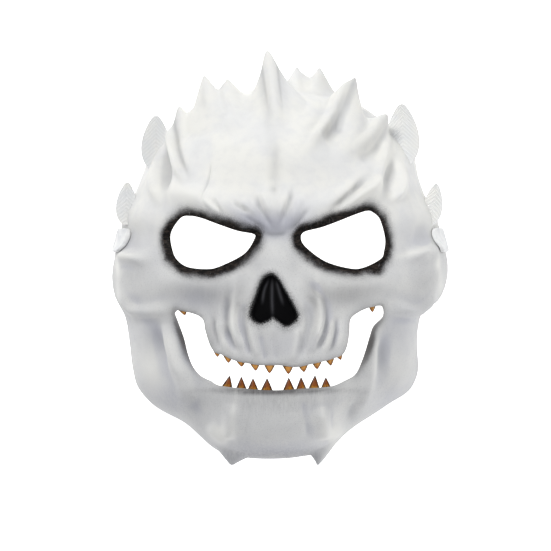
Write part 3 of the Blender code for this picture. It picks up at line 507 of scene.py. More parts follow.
# Creases and thin ribs, by the pixels that they pass on the photograph. Widths and rises in metres.
Crease = namedtuple("Crease", "name pixels half_width rise taper")
CREASES = (
    Crease("crest ridge", ((268, 56), (275, 82), (276, 126)), 0.0030, 0.0026, 4),
    Crease("crest groove left", ((262, 84), (268, 104), (270, 128)), 0.0018, -0.0016, 3),
    Crease("crest groove right", ((281, 78), (283, 100), (283, 124)), 0.0016, -0.0016, 3),
    Crease("forehead groove", ((277, 124), (276, 148), (274, 172), (272, 196)), 0.0036, -0.0014, 2),
    Crease("thorn ridge left", ((204, 78), (200, 94), (192, 112)), 0.0030, 0.0016, 3),
    Crease("thorn ridge inner left", ((227, 80), (230, 104), (234, 124)), 0.0024, 0.0016, 3),
    Crease("thorn dent left", ((202, 118), (210, 130)), 0.0030, -0.0012, 2),
    Crease("temple crease left", ((178, 106), (176, 128), (181, 156), (192, 182)), 0.0020, -0.0030, 4),
    Crease("temple ridge left", ((171, 122), (171, 140), (177, 164), (188, 188)), 0.0026, 0.0032, 4),
    Crease("temple rim left", ((164, 138), (155, 160), (153, 184), (160, 208)), 0.0026, 0.0034, 4),
    Crease("temple hollow left", ((168, 146), (163, 168), (164, 194)), 0.0036, -0.0022, 3),
    Crease("thin crease left", ((212, 160), (209, 180), (205, 208)), 0.0011, -0.0012, 4),
    Crease("forehead swirl left", ((220, 150), (232, 146), (246, 150)), 0.0030, 0.0007, 2),
    Crease("thorn ridge right", ((356, 77), (342, 98), (328, 121), (308, 152)), 0.0036, 0.0034, 4),
    Crease("thorn hollow right", ((350, 106), (337, 126), (320, 146)), 0.0042, -0.0034, 3),
    Crease("thorn ridge outer", ((387, 115), (370, 133), (350, 156)), 0.0032, 0.0030, 4),
    Crease("thorn hollow outer", ((390, 132), (376, 148), (356, 165)), 0.0040, -0.0024, 3),
    Crease("temple rim right", ((396, 152), (403, 172), (401, 192), (386, 204)), 0.0024, 0.0026, 4),
    Crease("temple inner rim right", ((386, 132), (384, 158), (374, 184), (352, 198)), 0.0034, 0.0024, 4),
    Crease("temple hollow right", ((396, 152), (393, 176), (380, 200)), 0.0040, -0.0010, 2),
    Crease("brow crease right", ((366, 176), (354, 190), (339, 204), (324, 213)), 0.0026, -0.0040, 3),
    Crease("brow bulge right", ((380, 176), (366, 190), (344, 205)), 0.0034, 0.0022, 4),
    Crease("brow fold outer left", ((214, 198), (219, 206), (224, 216)), 0.0016, -0.0018, 3),
    Crease("brow rib outer left", ((208, 200), (213, 208), (220, 216)), 0.0020, 0.0016, 3),
    Crease("brow fold left", ((232, 200), (240, 208), (252, 215)), 0.0017, -0.0022, 3),
    Crease("brow rib left", ((240, 202), (250, 208), (260, 218)), 0.0020, 0.0020, 3),
    Crease("brow fold inner left", ((256, 194), (259, 206), (268, 222), (274, 231)), 0.0019, -0.0024, 3),
    Crease("brow rib inner left", ((262, 190), (266, 202), (273, 216)), 0.0024, 0.0022, 3),
    Crease("brow dimple", ((270, 186), (274, 190), (279, 187)), 0.0034, -0.0018, 2),
    Crease("brow rib inner right", ((283, 196), (281, 208), (278, 220)), 0.0022, 0.0018, 3),
    Crease("brow fold inner right", ((292, 184), (290, 200), (284, 218), (279, 231)), 0.0019, -0.0024, 3),
    Crease("brow rib right", ((300, 194), (297, 208), (289, 224)), 0.0026, 0.0016, 3),
    Crease("brow fold right", ((311, 206), (304, 216), (294, 227), (285, 233)), 0.0018, -0.0020, 3),
    Crease("root fan left", ((240, 214), (256, 224), (270, 233)), 0.0015, -0.0014, 3),
    Crease("root line", ((262, 234), (275, 236), (289, 234)), 0.0014, -0.0014, 3),
    Crease("facet ridge left", ((112, 261), (121, 256), (133, 257), (152, 264)), 0.0024, 0.0026, 3),
    Crease("facet ridge right", ((404, 262), (415, 254), (428, 251)), 0.0022, 0.0024, 3),
    Crease(
        "cheek ridge left", ((110, 288), (122, 300), (138, 310), (158, 312), (178, 308)), 0.0030, 0.0013, 4
    ),
    Crease("cheek ridge right", ((440, 296), (428, 306), (412, 312), (392, 308)), 0.0028, 0.0022, 4),
    Crease(
        "nose fold left", ((238, 284), (229, 296), (227, 314), (230, 334), (240, 354)), 0.0026, -0.0026, 6
    ),
    Crease("nose rib left", ((243, 294), (236, 308), (236, 326), (244, 350)), 0.0024, 0.0030, 6),
    Crease("lip fold left", ((247, 300), (243, 316), (246, 334), (253, 358)), 0.0024, -0.0022, 5),
    Crease("lip rib left", ((251, 318), (253, 336), (259, 358)), 0.0022, 0.0024, 5),
    Crease("lip fold inner left", ((260, 330), (263, 345), (267, 362)), 0.0022, -0.0018, 4),
    Crease("lip fold middle", ((272, 330), (274, 346), (277, 362)), 0.0024, -0.0014, 4),
    Crease(
        "nose fold right", ((306, 278), (320, 293), (325, 310), (322, 330), (314, 352)), 0.0028, -0.0024, 6
    ),
    Crease("nose rib right", ((305, 288), (316, 304), (317, 324), (307, 354)), 0.0024, 0.0032, 6),
    Crease("lip fold right", ((301, 302), (308, 318), (306, 334), (299, 358)), 0.0024, -0.0022, 5),
    Crease("lip rib right", ((297, 326), (295, 342), (291, 362)), 0.0024, 0.0022, 5),
    Crease("lip fold outer left", ((216, 314), (216, 330), (222, 350)), 0.0024, -0.0018, 4),
    Crease("lip fold outer right", ((336, 314), (335, 332), (329, 354)), 0.0024, -0.0018, 4),
    Crease("lip rib outer left", ((210, 316), (210, 332), (215, 346)), 0.0022, 0.0018, 3),
    Crease("lip rib between left", ((222, 318), (222, 334), (228, 352)), 0.0022, 0.0020, 4),
    Crease("lip rib outer right", ((342, 318), (342, 334), (338, 350)), 0.0022, 0.0018, 3),
    Crease("lip rib between right", ((330, 316), (329, 334), (322, 354)), 0.0022, 0.0020, 4),
    Crease("jaw ridge left", ((160, 322), (168, 344), (178, 366), (188, 380)), 0.0030, 0.0022, 4),
    Crease("jaw hollow left", ((150, 326), (157, 346), (168, 370)), 0.0044, -0.0015, 2),
    Crease("jaw ridge right", ((376, 336), (370, 358), (367, 380)), 0.0030, 0.0024, 4),
    Crease("jaw hollow right", ((390, 330), (387, 354), (384, 380)), 0.0050, -0.0018, 2),
    Crease("jaw groove right", ((362, 388), (356, 408), (350, 428)), 0.0028, -0.0018, 4),
    Crease("jaw groove left", ((184, 390), (192, 408), (200, 424)), 0.0040, -0.0010, 2),
    Crease("chin rib left", ((237, 400), (234, 420), (229, 440)), 0.0030, 0.0018, 4),
    Crease("chin pad left", ((206, 424), (218, 434), (230, 442)), 0.0050, 0.0022, 3),
    Crease("chin rib right", ((318, 402), (321, 422), (324, 440)), 0.0030, 0.0018, 4),
    Crease("chin pad right", ((346, 428), (336, 436), (326, 442)), 0.0050, 0.0022, 3),
    Crease("chin line left", ((252, 394), (250, 414), (246, 436)), 0.0020, -0.0010, 4),
    Crease("chin line right", ((302, 394), (304, 414), (307, 436)), 0.0020, -0.0010, 4),
    Crease("notch right", ((417, 311), (427, 309)), 0.0012, -0.0016, 3),
)
NOSE_RIBS = (
    Crease("septum", ((272, 274), (272, 286), (272, 302), (273, 320)), 0.0011, 0.0022, 3),
    Crease("left rib", ((270, 276), (264, 290), (262, 306)), 0.0009, 0.0008, 3),
    Crease("right rib", ((275, 276), (279, 291), (284, 307)), 0.0009, 0.0008, 3),
)

# Grey shades, partly airbrushed grey and partly painted shade in hollows and creases, on the shaded sides of
# ridges and along the lower lip, by the pixel of the middle and half sizes in pixels, turned by degrees
Shade = namedtuple("Shade", "name pixel half_across half_along turn share")
GREY_SHADES = (
    Shade("under the left eye", (206, 294), 36, 15, 0, 0.80),
    Shade("under the right eye", (342, 295), 36, 14, 0, 0.74),
    Shade("beside the nose, left", (240, 300), 9, 26, -10, 0.35),
    Shade("beside the nose, right", (312, 300), 9, 26, 10, 0.35),
    Shade("brow middle", (264, 224), 30, 12, -10, 0.60),
    Shade("left temple hollow", (163, 176), 7, 22, 6, 0.32),
    Shade("right temple hollow", (392, 170), 7, 24, -10, 0.04),
    Shade("thorn hollow right", (324, 136), 5, 16, -40, 0.60),
    Shade("right brow crease", (342, 199), 4, 19, -49, 0.62),
    Shade("thorn hollow outer", (357, 150), 8, 14, -45, 0.30),
    Shade("thorn ridge side right", (348, 102), 6, 24, -34, 0.34),
    Shade("thorn ridge side outer", (380, 132), 6, 22, -42, 0.34),
    Shade("thorn left", (200, 90), 6, 12, -10, 0.22),
    Shade("thorn inner left", (224, 96), 5, 12, 0, 0.20),
    Shade("forehead groove", (275, 168), 6, 34, 0, 0.20),
    Shade("forehead middle", (290, 170), 60, 16, 0, 0.16),
    Shade("crest left", (268, 104), 4, 30, 0, 0.22),
    Shade("crest right", (283, 96), 3, 26, 0, 0.20),
    Shade("temple crease left", (180, 148), 3, 34, 10, 0.26),
    Shade("left of the grin", (183, 339), 7, 28, 26, 0.62),
    Shade("left grin corner", (193, 358), 6, 14, 30, 0.34),
    Shade("right of the grin", (372, 343), 7, 30, -23, 0.62),
    Shade("left jaw hollow", (158, 346), 10, 22, 22, 0.22),
    Shade("right jaw hollow", (390, 354), 11, 24, -7, 0.26),
    Shade("left upper lip", (214, 336), 5, 22, 0, 0.30),
    Shade("right upper lip", (333, 336), 5, 22, 0, 0.30),
    Shade("under the nose", (274, 336), 26, 18, 0, 0.24),
    Shade("left lip fold", (229, 318), 3, 30, 0, 0.34),
    Shade("right lip fold", (325, 318), 3, 30, 4, 0.36),
    Shade("lower lip line", (277, 390), 56, 2.4, 0, 1.60),
    Shade("chin strokes", (276, 398), 58, 13, 0, 0.42),
    Shade("left chin groove", (194, 406), 10, 24, 24, 0.20),
    Shade("right chin groove", (356, 408), 8, 26, -16, 0.22),
    Shade("chin foot", (276, 454), 66, 10, 0, 0.75),
    Shade("left cheek bulge", (134, 272), 18, 14, 0, 0.30),
    Shade("right cheek bulge", (420, 280), 14, 18, 0, 0.28),
    Shade("bridge side left", (254, 262), 8, 20, 20, 0.22),
    Shade("bridge side right", (296, 262), 8, 20, -20, 0.22),
)

# Painted highlights: places lightened to nearly white where light catches brows, ribs, facets and pads
PAINTED_HIGHLIGHTS = (
    Shade("left brow", (188, 196), 28, 9, -8, 1.00),
    Shade("left brow fold", (219, 208), 12, 3, -35, 0.70),
    Shade("left brow rib", (244, 209), 12, 3, -30, 0.70),
    Shade("middle brow rib", (262, 206), 3, 12, 20, 0.50),
    Shade("right brow bulge", (360, 196), 26, 5, 38, 0.90),
    Shade("right temple rim", (402, 178), 2.5, 26, -4, 1.00),
    Shade("left temple rim", (154, 176), 3, 28, 8, 0.60),
    Shade("left temple ridge", (177, 160), 3, 28, 13, 0.70),
    Shade("left facet", (128, 257), 15, 3, 0, 0.95),
    Shade("left facet foot", (118, 267), 4, 8, 10, 0.85),
    Shade("right facet", (410, 253), 14, 3, 18, 0.75),
    Shade("right facet foot", (436, 264), 4, 7, -10, 0.85),
    Shade("left jaw plate", (150, 374), 12, 26, 14, 0.75),
    Shade("left jaw ridge", (172, 350), 5, 30, 25, 0.45),
    Shade("right jaw ridge", (376, 354), 4, 28, -11, 0.60),
    Shade("right jaw plate", (402, 372), 10, 24, 6, 0.40),
    Shade("left chin pad", (222, 432), 13, 12, -20, 0.95),
    Shade("right chin pad", (332, 432), 14, 12, 30, 0.95),
    Shade("nose bridge", (276, 246), 8, 10, 0, 0.20),
    Shade("left chin rib", (236, 412), 3, 22, 0, 0.45),
    Shade("right chin rib", (320, 412), 3, 22, 0, 0.45),
    Shade("left temple", (132, 228), 12, 12, 0, 0.40),
    Shade("left nose rib", (236, 322), 2.5, 28, 0, 0.60),
    Shade("right nose rib", (316, 318), 2.5, 28, 0, 0.60),
    Shade("left lip rib", (255, 342), 2.5, 16, 18, 0.40),
    Shade("right lip rib", (294, 344), 2.5, 16, -10, 0.40),
    Shade("left outer lip rib", (224, 338), 2.5, 16, 14, 0.50),
    Shade("right outer lip rib", (327, 338), 2.5, 16, -14, 0.50),
    Shade("right temple", (424, 222), 10, 22, 0, 0.60),
    Shade("left cheek edge", (117, 290), 5, 18, -10, 0.50),
    Shade("right cheek edge", (441, 284), 4, 18, 10, 0.50),
)

# Where the paint round an opening reaches further
RIM_SPRAY = (
    Shade("above the right eye", (330, 222), 26, 9, 22, 0.74),
    Shade("right eye, inner corner", (299, 240), 9, 12, 0, 0.66),
    Shade("right eye, under the outer corner", (378, 272), 8, 7, 0, 0.95),
    Shade("right eye, outer side", (388, 240), 7, 20, 0, 0.36),
    Shade("left eye, outer side", (165, 244), 10, 22, 0, 1.00),
    Shade("left eye, lower side", (226, 268), 22, 8, 16, 0.66),
    Shade("left eye, inner corner", (257, 240), 8, 12, 0, 0.44),
    Shade("left eye, under the outer corner", (182, 268), 12, 7, -30, 0.62),
    Shade("left eye, upper side", (232, 222), 16, 6, -18, 0.36),
    Shade("right eye, lower side", (322, 266), 20, 7, -20, 0.46),
    Shade("left edge of the grin", (184, 338), 9, 26, 26, 0.75),
    Shade("right edge of the grin", (369, 344), 9, 28, -23, 0.70),
    Shade("lower lip edge", (277, 391), 58, 5, 0, 0.45),
)

# Bluish shades
BLUE_SHADES = (
    Shade("brow left", (258, 224), 28, 13, -14, 1.15),
    Shade("brow right", (293, 220), 20, 13, 24, 0.85),
    Shade("left temple", (136, 240), 16, 16, 0, 0.40),
    Shade("right temple", (412, 234), 10, 26, 0, 0.30),
    Shade("left eye corner", (196, 300), 20, 12, 0, 0.50),
    Shade("left jaw", (162, 396), 30, 14, -32, 0.55),
    Shade("right jaw", (394, 398), 26, 14, 36, 0.50),
    Shade("chin foot", (276, 446), 70, 12, 0, 0.55),
    Shade("left cheek", (150, 330), 22, 16, 0, 0.40),
    Shade("right cheek", (402, 330), 16, 22, 0, 0.40),
    Shade("nose foot", (286, 344), 30, 12, 0, 0.30),
)


def swatch(red, green, blue):
    """Colour of a swatch with channels up to 255, as the shader wants it."""
    shares = [channel / 255 for channel in (red, green, blue)]
    straight = [share / 12.92 if share <= 0.04045 else ((share + 0.055) / 1.055) ** 2.4 for share in shares]
    return (*straight, 1.0)


FOAM_WARM = swatch(240, 239, 233)
FOAM_COOL = swatch(233, 233, 231)
FIN_WARM = swatch(232, 231, 226)
FIN_COOL = swatch(224, 225, 225)
INSIDE_WHITE = swatch(228, 228, 224)
GREY_WASH_AND_SHADE = swatch(210, 210, 209)
HOLLOW_GREY = swatch(150, 152, 158)
CREASE_GREY = swatch(112, 112, 114)
BLUE_GREY = swatch(166, 168, 184)
EDGE_GREY = swatch(52, 55, 66)
HAZE_GREY = swatch(96, 95, 98)
EYE_BLACK = swatch(12, 11, 11)
EYE_BROWN = swatch(62, 54, 48)
NOSE_BLACK = swatch(5, 5, 6)
NOSE_HIGHLIGHT_GREY = swatch(84, 84, 88)
LIP_DARK = swatch(58, 54, 52)
AMBER_ROOT = swatch(190, 156, 92)
AMBER = swatch(206, 146, 74)
AMBER_TIP = swatch(160, 92, 50)
AMBER_DARK = swatch(96, 64, 34)
OCHRE = swatch(184, 128, 26)
RUST = swatch(132, 70, 22)
BROWN_TIP = swatch(66, 46, 38)
BROWN_DARK = swatch(38, 26, 20)
TAB_WHITE = swatch(240, 240, 238)
ELASTIC_WHITE = swatch(238, 238, 234)
ELASTIC_SHADE = swatch(196, 196, 192)
FLOOR_WHITE = swatch(252, 252, 252)
FLOOR_SOFT = swatch(248, 248, 249)


def new_piece(name, bm, surface):
    """Makes the shown piece from a finished mesh."""
    mesh = bpy.data.meshes.new(name)
    bm.to_mesh(mesh)
    bm.free()
    piece = bpy.data.objects.new(name, mesh)
    bpy.context.scene.collection.objects.link(piece)
    mesh.materials.append(surface)
    mesh.shade_smooth()
    return piece


def thicken(bm, thickness):
    """Gives a sheet a second side, and returns the corners of that side."""
    made = bmesh.ops.solidify(bm, geom=list(bm.faces), thickness=thickness)["geom"]
    return {item for item in made if isinstance(item, bmesh.types.BMVert)}


def face_outwards(bm):
    bm.normal_update()
    bmesh.ops.recalc_face_normals(bm, faces=bm.faces)


def smooth_step(value, low, high):
    t = np.clip((value - low) / (high - low), 0.0, 1.0)
    return t * t * (3 - 2 * t)


def through_knots(place, knots, values):
    """Smooth curve through values at rising knots, read at place."""
    slope = np.gradient(values, knots)
    index = np.clip(np.searchsorted(knots, place, side="right") - 1, 0, len(knots) - 2)
    span = knots[index + 1] - knots[index]
    t = (place - knots[index]) / span
    start, end = values[index], values[index + 1]
    return (
        start * (2 * t**3 - 3 * t**2 + 1)
        + slope[index] * span * (t**3 - 2 * t**2 + t)
        + end * (3 * t**2 - 2 * t**3)
        + slope[index + 1] * span * (t**3 - t**2)
    )


def around(bearing, knots, values):
    """The same, for values that repeat every full turn. Bearings in radians."""
    turn = 2 * math.pi
    order = np.argsort(np.mod(knots, turn))
    ring = np.mod(knots, turn)[order]
    level = values[order]
    ring = np.concatenate([ring - turn, ring, ring + turn])
    level = np.concatenate([level, level, level])
    return through_knots(np.mod(bearing, turn), ring, level)


OUTLINE_SHARES = np.array([(row.across, row.up) for row in OUTLINE])
OUTLINE_BEARINGS = np.arctan2(OUTLINE_SHARES[:, 1], OUTLINE_SHARES[:, 0])
OUTLINE_REACH = np.hypot(OUTLINE_SHARES[:, 0], OUTLINE_SHARES[:, 1])
ROUND_BEARINGS = np.radians([row.bearing for row in ROUNDNESS])
FLATNESS = np.array([row.flatness for row in ROUNDNESS])
FULLNESS = np.array([row.fullness for row in ROUNDNESS])
OUTLINE_BLUR = np.radians((-24, -12, 0, 12, 24))


def outline_reach(bearing, ring):
    """How far the outline lies on a bearing. Its small steps fade towards the middle of the face."""
    sharp = around(bearing, OUTLINE_BEARINGS, OUTLINE_REACH)
    plain = sum(around(bearing + turn, OUTLINE_BEARINGS, OUTLINE_REACH) for turn in OUTLINE_BLUR)
    plain = plain / len(OUTLINE_BLUR)
    return plain + (sharp - plain) * ring**OUTLINE_SHARPNESS


def dome_point(bearing, ring):
    """Point of the plain dome. ring runs from 0 in the middle to 1 at the rim."""
    reach = outline_reach(bearing, ring) * ring
    flatness = around(bearing, ROUND_BEARINGS, FLATNESS)
    fullness = around(bearing, ROUND_BEARINGS, FULLNESS)
    high = np.clip(1.0 - ring**flatness, 0.0, 1.0) ** (1.0 / fullness)
    x = HALF_WIDTH * reach * np.cos(bearing)
    y = HALF_HEIGHT * reach * np.sin(bearing)
    return np.stack([x, y, DEPTH * high], axis=-1)


def dome_normal(bearing, ring):
    """Outward direction of the plain dome."""
    ring = np.clip(ring, 2 * NORMAL_STEP, 1.0 - NORMAL_STEP)
    along_ring = dome_point(bearing, ring + NORMAL_STEP) - dome_point(bearing, ring - NORMAL_STEP)
    along_bearing = dome_point(bearing + NORMAL_STEP, ring) - dome_point(bearing - NORMAL_STEP, ring)
    normal = np.cross(along_ring, along_bearing)
    return normal / np.linalg.norm(normal, axis=-1, keepdims=True)


def ring_at(x, y):
    """Bearing and ring of the dome point that is seen at x, y from the front."""
    across, up = x / HALF_WIDTH, y / HALF_HEIGHT
    bearing = np.arctan2(up, across)
    distance = np.hypot(across, up)
    ring = np.clip(distance, 0.0, 1.0)
    for _ in range(RING_TRIES):
        ring = np.clip(distance / outline_reach(bearing, ring), 0.0, RIM_RING)
    return bearing, ring


def in_metres(points):
    return np.array([(across * HALF_WIDTH, up * HALF_HEIGHT) for across, up in points])


def seen(pixels):
    """Places on the face for points marked on the photograph."""
    return np.array([((x - PHOTO_X) * PHOTO_PIXEL, (PHOTO_Y - y) * PHOTO_PIXEL) for x, y in pixels])


def smooth_loop(points, steps):
    """Closed smooth line through the points."""
    ring = np.array(points)
    count = len(ring)
    place = np.linspace(0, count, steps, endpoint=False)
    knots = np.arange(-count, 2 * count, dtype=float)
    columns = [through_knots(place, knots, np.tile(ring[:, axis], 3)) for axis in (0, 1)]
    return np.stack(columns, axis=-1)


def smooth_line(points, steps):
    """Open smooth line through the points."""
    knots = np.arange(len(points), dtype=float)
    place = np.linspace(0.0, knots[-1], steps * (len(points) - 1) + 1)
    return np.stack([through_knots(place, knots, points[:, axis]) for axis in (0, 1)], axis=-1)


FOLD_LINES = [smooth_line(in_metres(fold.points), FOLD_STEPS) for fold in FOLDS]
CREASE_LINES = [smooth_line(seen(crease.pixels), CREASE_STEPS) for crease in CREASES]


def line_distance(x, y, line):
    """Distance to a line of points, and the share of its length at which the nearest point lies."""
    best = np.full(np.shape(x), 1.0)
    share = np.zeros(np.shape(x))
    lengths = np.hypot(*np.diff(line, axis=0).T)
    starts = np.concatenate([[0.0], np.cumsum(lengths)])
    for start, end, length, run_start in zip(line[:-1], line[1:], lengths, starts):
        run = (end - start) / length
        t = np.clip((x - start[0]) * run[0] + (y - start[1]) * run[1], 0.0, length)
        away = np.hypot(x - start[0] - t * run[0], y - start[1] - t * run[1])
        share = np.where(away < best, (run_start + t) / starts[-1], share)
        best = np.minimum(best, away)
    return best, share


def loop_distance(x, y, loop):
    """Distance to a closed line, negative inside it."""
    away, _ = line_distance(x, y, np.vstack([loop, loop[:1]]))
    inside = np.zeros(np.shape(x), dtype=bool)
    for start, end in zip(loop, np.roll(loop, -1, axis=0)):
        if start[1] == end[1]:
            continue
        crosses = (start[1] > y) != (end[1] > y)
        edge = start[0] + (y - start[1]) * (end[0] - start[0]) / (end[1] - start[1])
        inside ^= crosses & (x < edge)
    return np.where(inside, -away, away)


EYE_LEFT_LINE = smooth_loop(in_metres(EYE_LEFT), EYE_STEPS)
EYE_RIGHT_LINE = smooth_loop(in_metres(EYE_RIGHT), EYE_STEPS)
MOUTH_LINE = smooth_loop(in_metres(UPPER_LIP + LOWER_LIP), MOUTH_STEPS)
NOSE_LINE = smooth_loop(in_metres(NOSE), NOSE_STEPS)


def bell(away, half_width):
    """1 on a line, and softly less on both sides of it."""
    return np.exp(-((away / half_width) ** 2))


def swelling(share, taper):
    """0 at both ends of a line and 1 along its middle. The larger the taper, the sooner."""
    return smooth_step(1.0 - np.abs(2 * share - 1.0), 0.0, 2.0 / taper)


def broad_relief(x, y):
    """The swells, hollows and main folds of the face."""
    rise = np.zeros(np.shape(x))
    for form in FORMS:
        turn = math.radians(form.turn)
        away_x = x - form.across * HALF_WIDTH
        away_y = y - form.up * HALF_HEIGHT
        along = (away_x * math.cos(turn) + away_y * math.sin(turn)) / (form.half_across * HALF_WIDTH)
        beside = (away_y * math.cos(turn) - away_x * math.sin(turn)) / (form.half_up * HALF_HEIGHT)
        rise += form.rise * DEPTH * np.exp(-(along**2 + beside**2))
    for fold, line in zip(FOLDS, FOLD_LINES):
        away, share = line_distance(x, y, line)
        swell = swelling(share, FOLD_TAPER)
        rise += fold.rise * DEPTH * swell * bell(away, fold.half_width * HALF_WIDTH)
    return rise


def fine_relief(x, y):
    """Creases, wrinkles and thin ribs, which swell in and out along their length."""
    rise = np.zeros(np.shape(x))
    for crease, line in zip(CREASES, CREASE_LINES):
        low = line.min(axis=0) - crease.half_width * CREASE_REACH
        high = line.max(axis=0) + crease.half_width * CREASE_REACH
        near = (x > low[0]) & (x < high[0]) & (y > low[1]) & (y < high[1])
        away, share = line_distance(x[near], y[near], line)
        rise[near] += crease.rise * swelling(share, crease.taper) * bell(away, crease.half_width)
    return rise


def eye_distance(x, y):
    """Distance to the nearer eye opening, negative inside it."""
    return np.minimum(loop_distance(x, y, EYE_LEFT_LINE), loop_distance(x, y, EYE_RIGHT_LINE))


def opening_relief(x, y):
    """The skin rolls back into the eye openings and the mouth, and sinks into the nose."""
    eyes = eye_distance(x, y)
    mouth = loop_distance(x, y, MOUTH_LINE)
    nose = -loop_distance(x, y, NOSE_LINE)
    rise = -EYE_ROLL * (1.0 - smooth_step(eyes, 0.0, EYE_ROLL_REACH))
    rise -= LIP_ROLL * (1.0 - smooth_step(mouth, 0.0, LIP_ROLL_REACH))
    rise += NOSE_LIP * bell(nose + NOSE_LIP_REACH, NOSE_LIP_REACH)
    deep = NOSE_EDGE_SHARE + (1.0 - NOSE_EDGE_SHARE) * smooth_step(nose, 0.0, NOSE_FLOOR_REACH)
    rise -= NOSE_DEPTH * smooth_step(nose, -NOSE_WALL / 2, NOSE_WALL) * deep
    for rib in NOSE_RIBS:
        away, _ = line_distance(x, y, seen(rib.pixels))
        rise += rib.rise * smooth_step(nose, 0.0, NOSE_WALL) * bell(away, rib.half_width)
    return rise


def rib_share(x, y, ribs):
    """1 on the crest of the nearest rib, falling to 0 beside it and towards its ends."""
    total = np.zeros(np.shape(x))
    for rib in ribs:
        away, share = line_distance(x, y, smooth_line(seen(rib.pixels), CREASE_STEPS))
        total = np.maximum(total, swelling(share, rib.taper) * bell(away, rib.half_width))
    return total


def painted_shade(x, y, shades):
    """How much airbrushed colour lies at each place, from soft round and long spots."""
    total = np.zeros(np.shape(x))
    for shade in shades:
        middle = seen((shade.pixel,))[0]
        turn = math.radians(shade.turn)
        across = (x - middle[0]) * math.cos(turn) + (y - middle[1]) * math.sin(turn)
        along = (y - middle[1]) * math.cos(turn) - (x - middle[0]) * math.sin(turn)
        spot = bell(across, shade.half_across * PHOTO_PIXEL) * bell(along, shade.half_along * PHOTO_PIXEL)
        total += shade.share * spot
    return np.minimum(total, 1.0)


def rim_fade(ring):
    """1 over the face, falling to 0 at the rim, which keeps the plain outline."""
    return smooth_step(1.0 - ring, 0.0, RIM_FADE)


def moulded_relief(x, y):
    return broad_relief(x, y) + fine_relief(x, y)


def near_mean(rise_at, x, y, reach):
    """Mean of a relief on a small circle round each place."""
    turns = np.linspace(0.0, 2 * math.pi, MEAN_STEPS, endpoint=False)
    rises = [rise_at(x + reach * math.cos(turn), y + reach * math.sin(turn)) for turn in turns]
    return sum(rises) / len(turns)


def thorn_frame(row):
    """Root of a thorn on the skin, its point, and the directions across it, along the skin and out."""
    bearing, ring = np.array(math.radians(row.bearing)), np.array(row.ring)
    out = dome_normal(bearing, ring)
    root = dome_point(bearing, ring)
    root = root + out * broad_relief(root[0], root[1]) * rim_fade(ring)
    tip = np.array((row.tip_across * HALF_WIDTH, row.tip_up * HALF_HEIGHT, row.tip_high * DEPTH))
    beside = np.cross(out, tip - root)
    beside /= np.linalg.norm(beside)
    return root, tip, beside, np.cross(out, beside), out


def drawn_out(points, broad_points):
    """The skin with the thorns drawn out of it."""
    pulled = points.copy()
    for row in THORNS:
        root, tip, beside, back, out = thorn_frame(row)
        away = broad_points - root
        across = away @ beside / (row.half_width * HALF_WIDTH * THORN_SPREAD)
        along = away @ back / (row.half_length * HALF_WIDTH * THORN_SPREAD)
        deep = away @ out / (row.half_length * HALF_WIDTH * THORN_SPREAD)
        reach = np.sqrt(across**2 + along**2 + deep**2 + THORN_BLUNT**2) - THORN_BLUNT
        share = np.clip(1.0 - reach, 0.0, 1.0) ** THORN_HOLLOW
        drawn = broad_points + share[:, None] * (tip - root)
        keep = smooth_step(share, 0.0, THORN_SMOOTH)[:, None]
        pulled = np.where(share[:, None] > 0.0, pulled + share[:, None] * (tip - root), pulled)
        pulled += keep * share[:, None] * (drawn - pulled)
    return pulled


def skin_grid():
    """Square grid drawn round into a disc. The distance from the middle is the angle round the dome."""
    bm = bmesh.new()
    bmesh.ops.create_grid(bm, x_segments=SKIN_CELLS, y_segments=SKIN_CELLS, size=1.0)
    for vert in bm.verts:
        x = vert.co.x * math.sqrt(max(1.0 - vert.co.y**2 / 2, 0.0))
        y = vert.co.y * math.sqrt(max(1.0 - vert.co.x**2 / 2, 0.0))
        radius = min(math.hypot(x, y), 1.0)
        angle = math.pi / 2 * (FRONT_DENSITY * radius + (1.0 - FRONT_DENSITY) * radius**3)
        stretch = angle / radius if radius > 0.0 else 0.0
        vert.co = Vector((x * stretch, y * stretch, 0.0))
    return bm


def plan_to_dome(plan):
    """Bearing and ring for places on the flat plan of the skin."""
    angle = np.clip(np.hypot(plan[:, 0], plan[:, 1]), 0.0, math.pi / 2)
    return np.arctan2(plan[:, 1], plan[:, 0]), np.sin(angle)


def dome_to_plan(bearing, ring):
    angle = np.arcsin(ring)
    return np.stack([angle * np.cos(bearing), angle * np.sin(bearing)], axis=-1)


def refine_skin(bm):
    """Cuts the cells in four where the face has its finest forms."""
    centres = np.array([face.calc_center_median()[:2] for face in bm.faces])
    points = dome_point(*plan_to_dome(centres))
    fine = np.zeros(len(points), dtype=bool)
    for patch in FINE_PATCHES:
        (left, low), (right, high) = seen(((patch.left, patch.bottom), (patch.right, patch.top)))
        fine |= (points[:, 0] > left) & (points[:, 0] < right) & (points[:, 1] > low) & (points[:, 1] < high)
    for row in THORNS:
        root = thorn_frame(row)[0]
        away = np.linalg.norm(points - root, axis=1)
        fine |= away < row.half_width * HALF_WIDTH * THORN_SPREAD * THORN_FINE
    bm.faces.ensure_lookup_table()
    edges = {edge for index in np.flatnonzero(fine) for edge in bm.faces[index].edges}
    bmesh.ops.subdivide_edges(bm, edges=list(edges), cuts=1, use_grid_fill=True)


def plan_loop(line):
    return dome_to_plan(*ring_at(line[:, 0], line[:, 1]))


def nearest_on_loop(places, loop):
    """Nearest points of a closed line."""
    starts, ends = loop, np.roll(loop, -1, axis=0)
    run = ends - starts
    away = places[:, None, :] - starts[None, :, :]
    t = np.clip((away * run).sum(axis=2) / (run**2).sum(axis=1), 0.0, 1.0)
    nearest = starts[None, :, :] + t[:, :, None] * run
    pick = np.argmin(((nearest - places[:, None, :]) ** 2).sum(axis=2), axis=1)
    return nearest[np.arange(len(places)), pick]


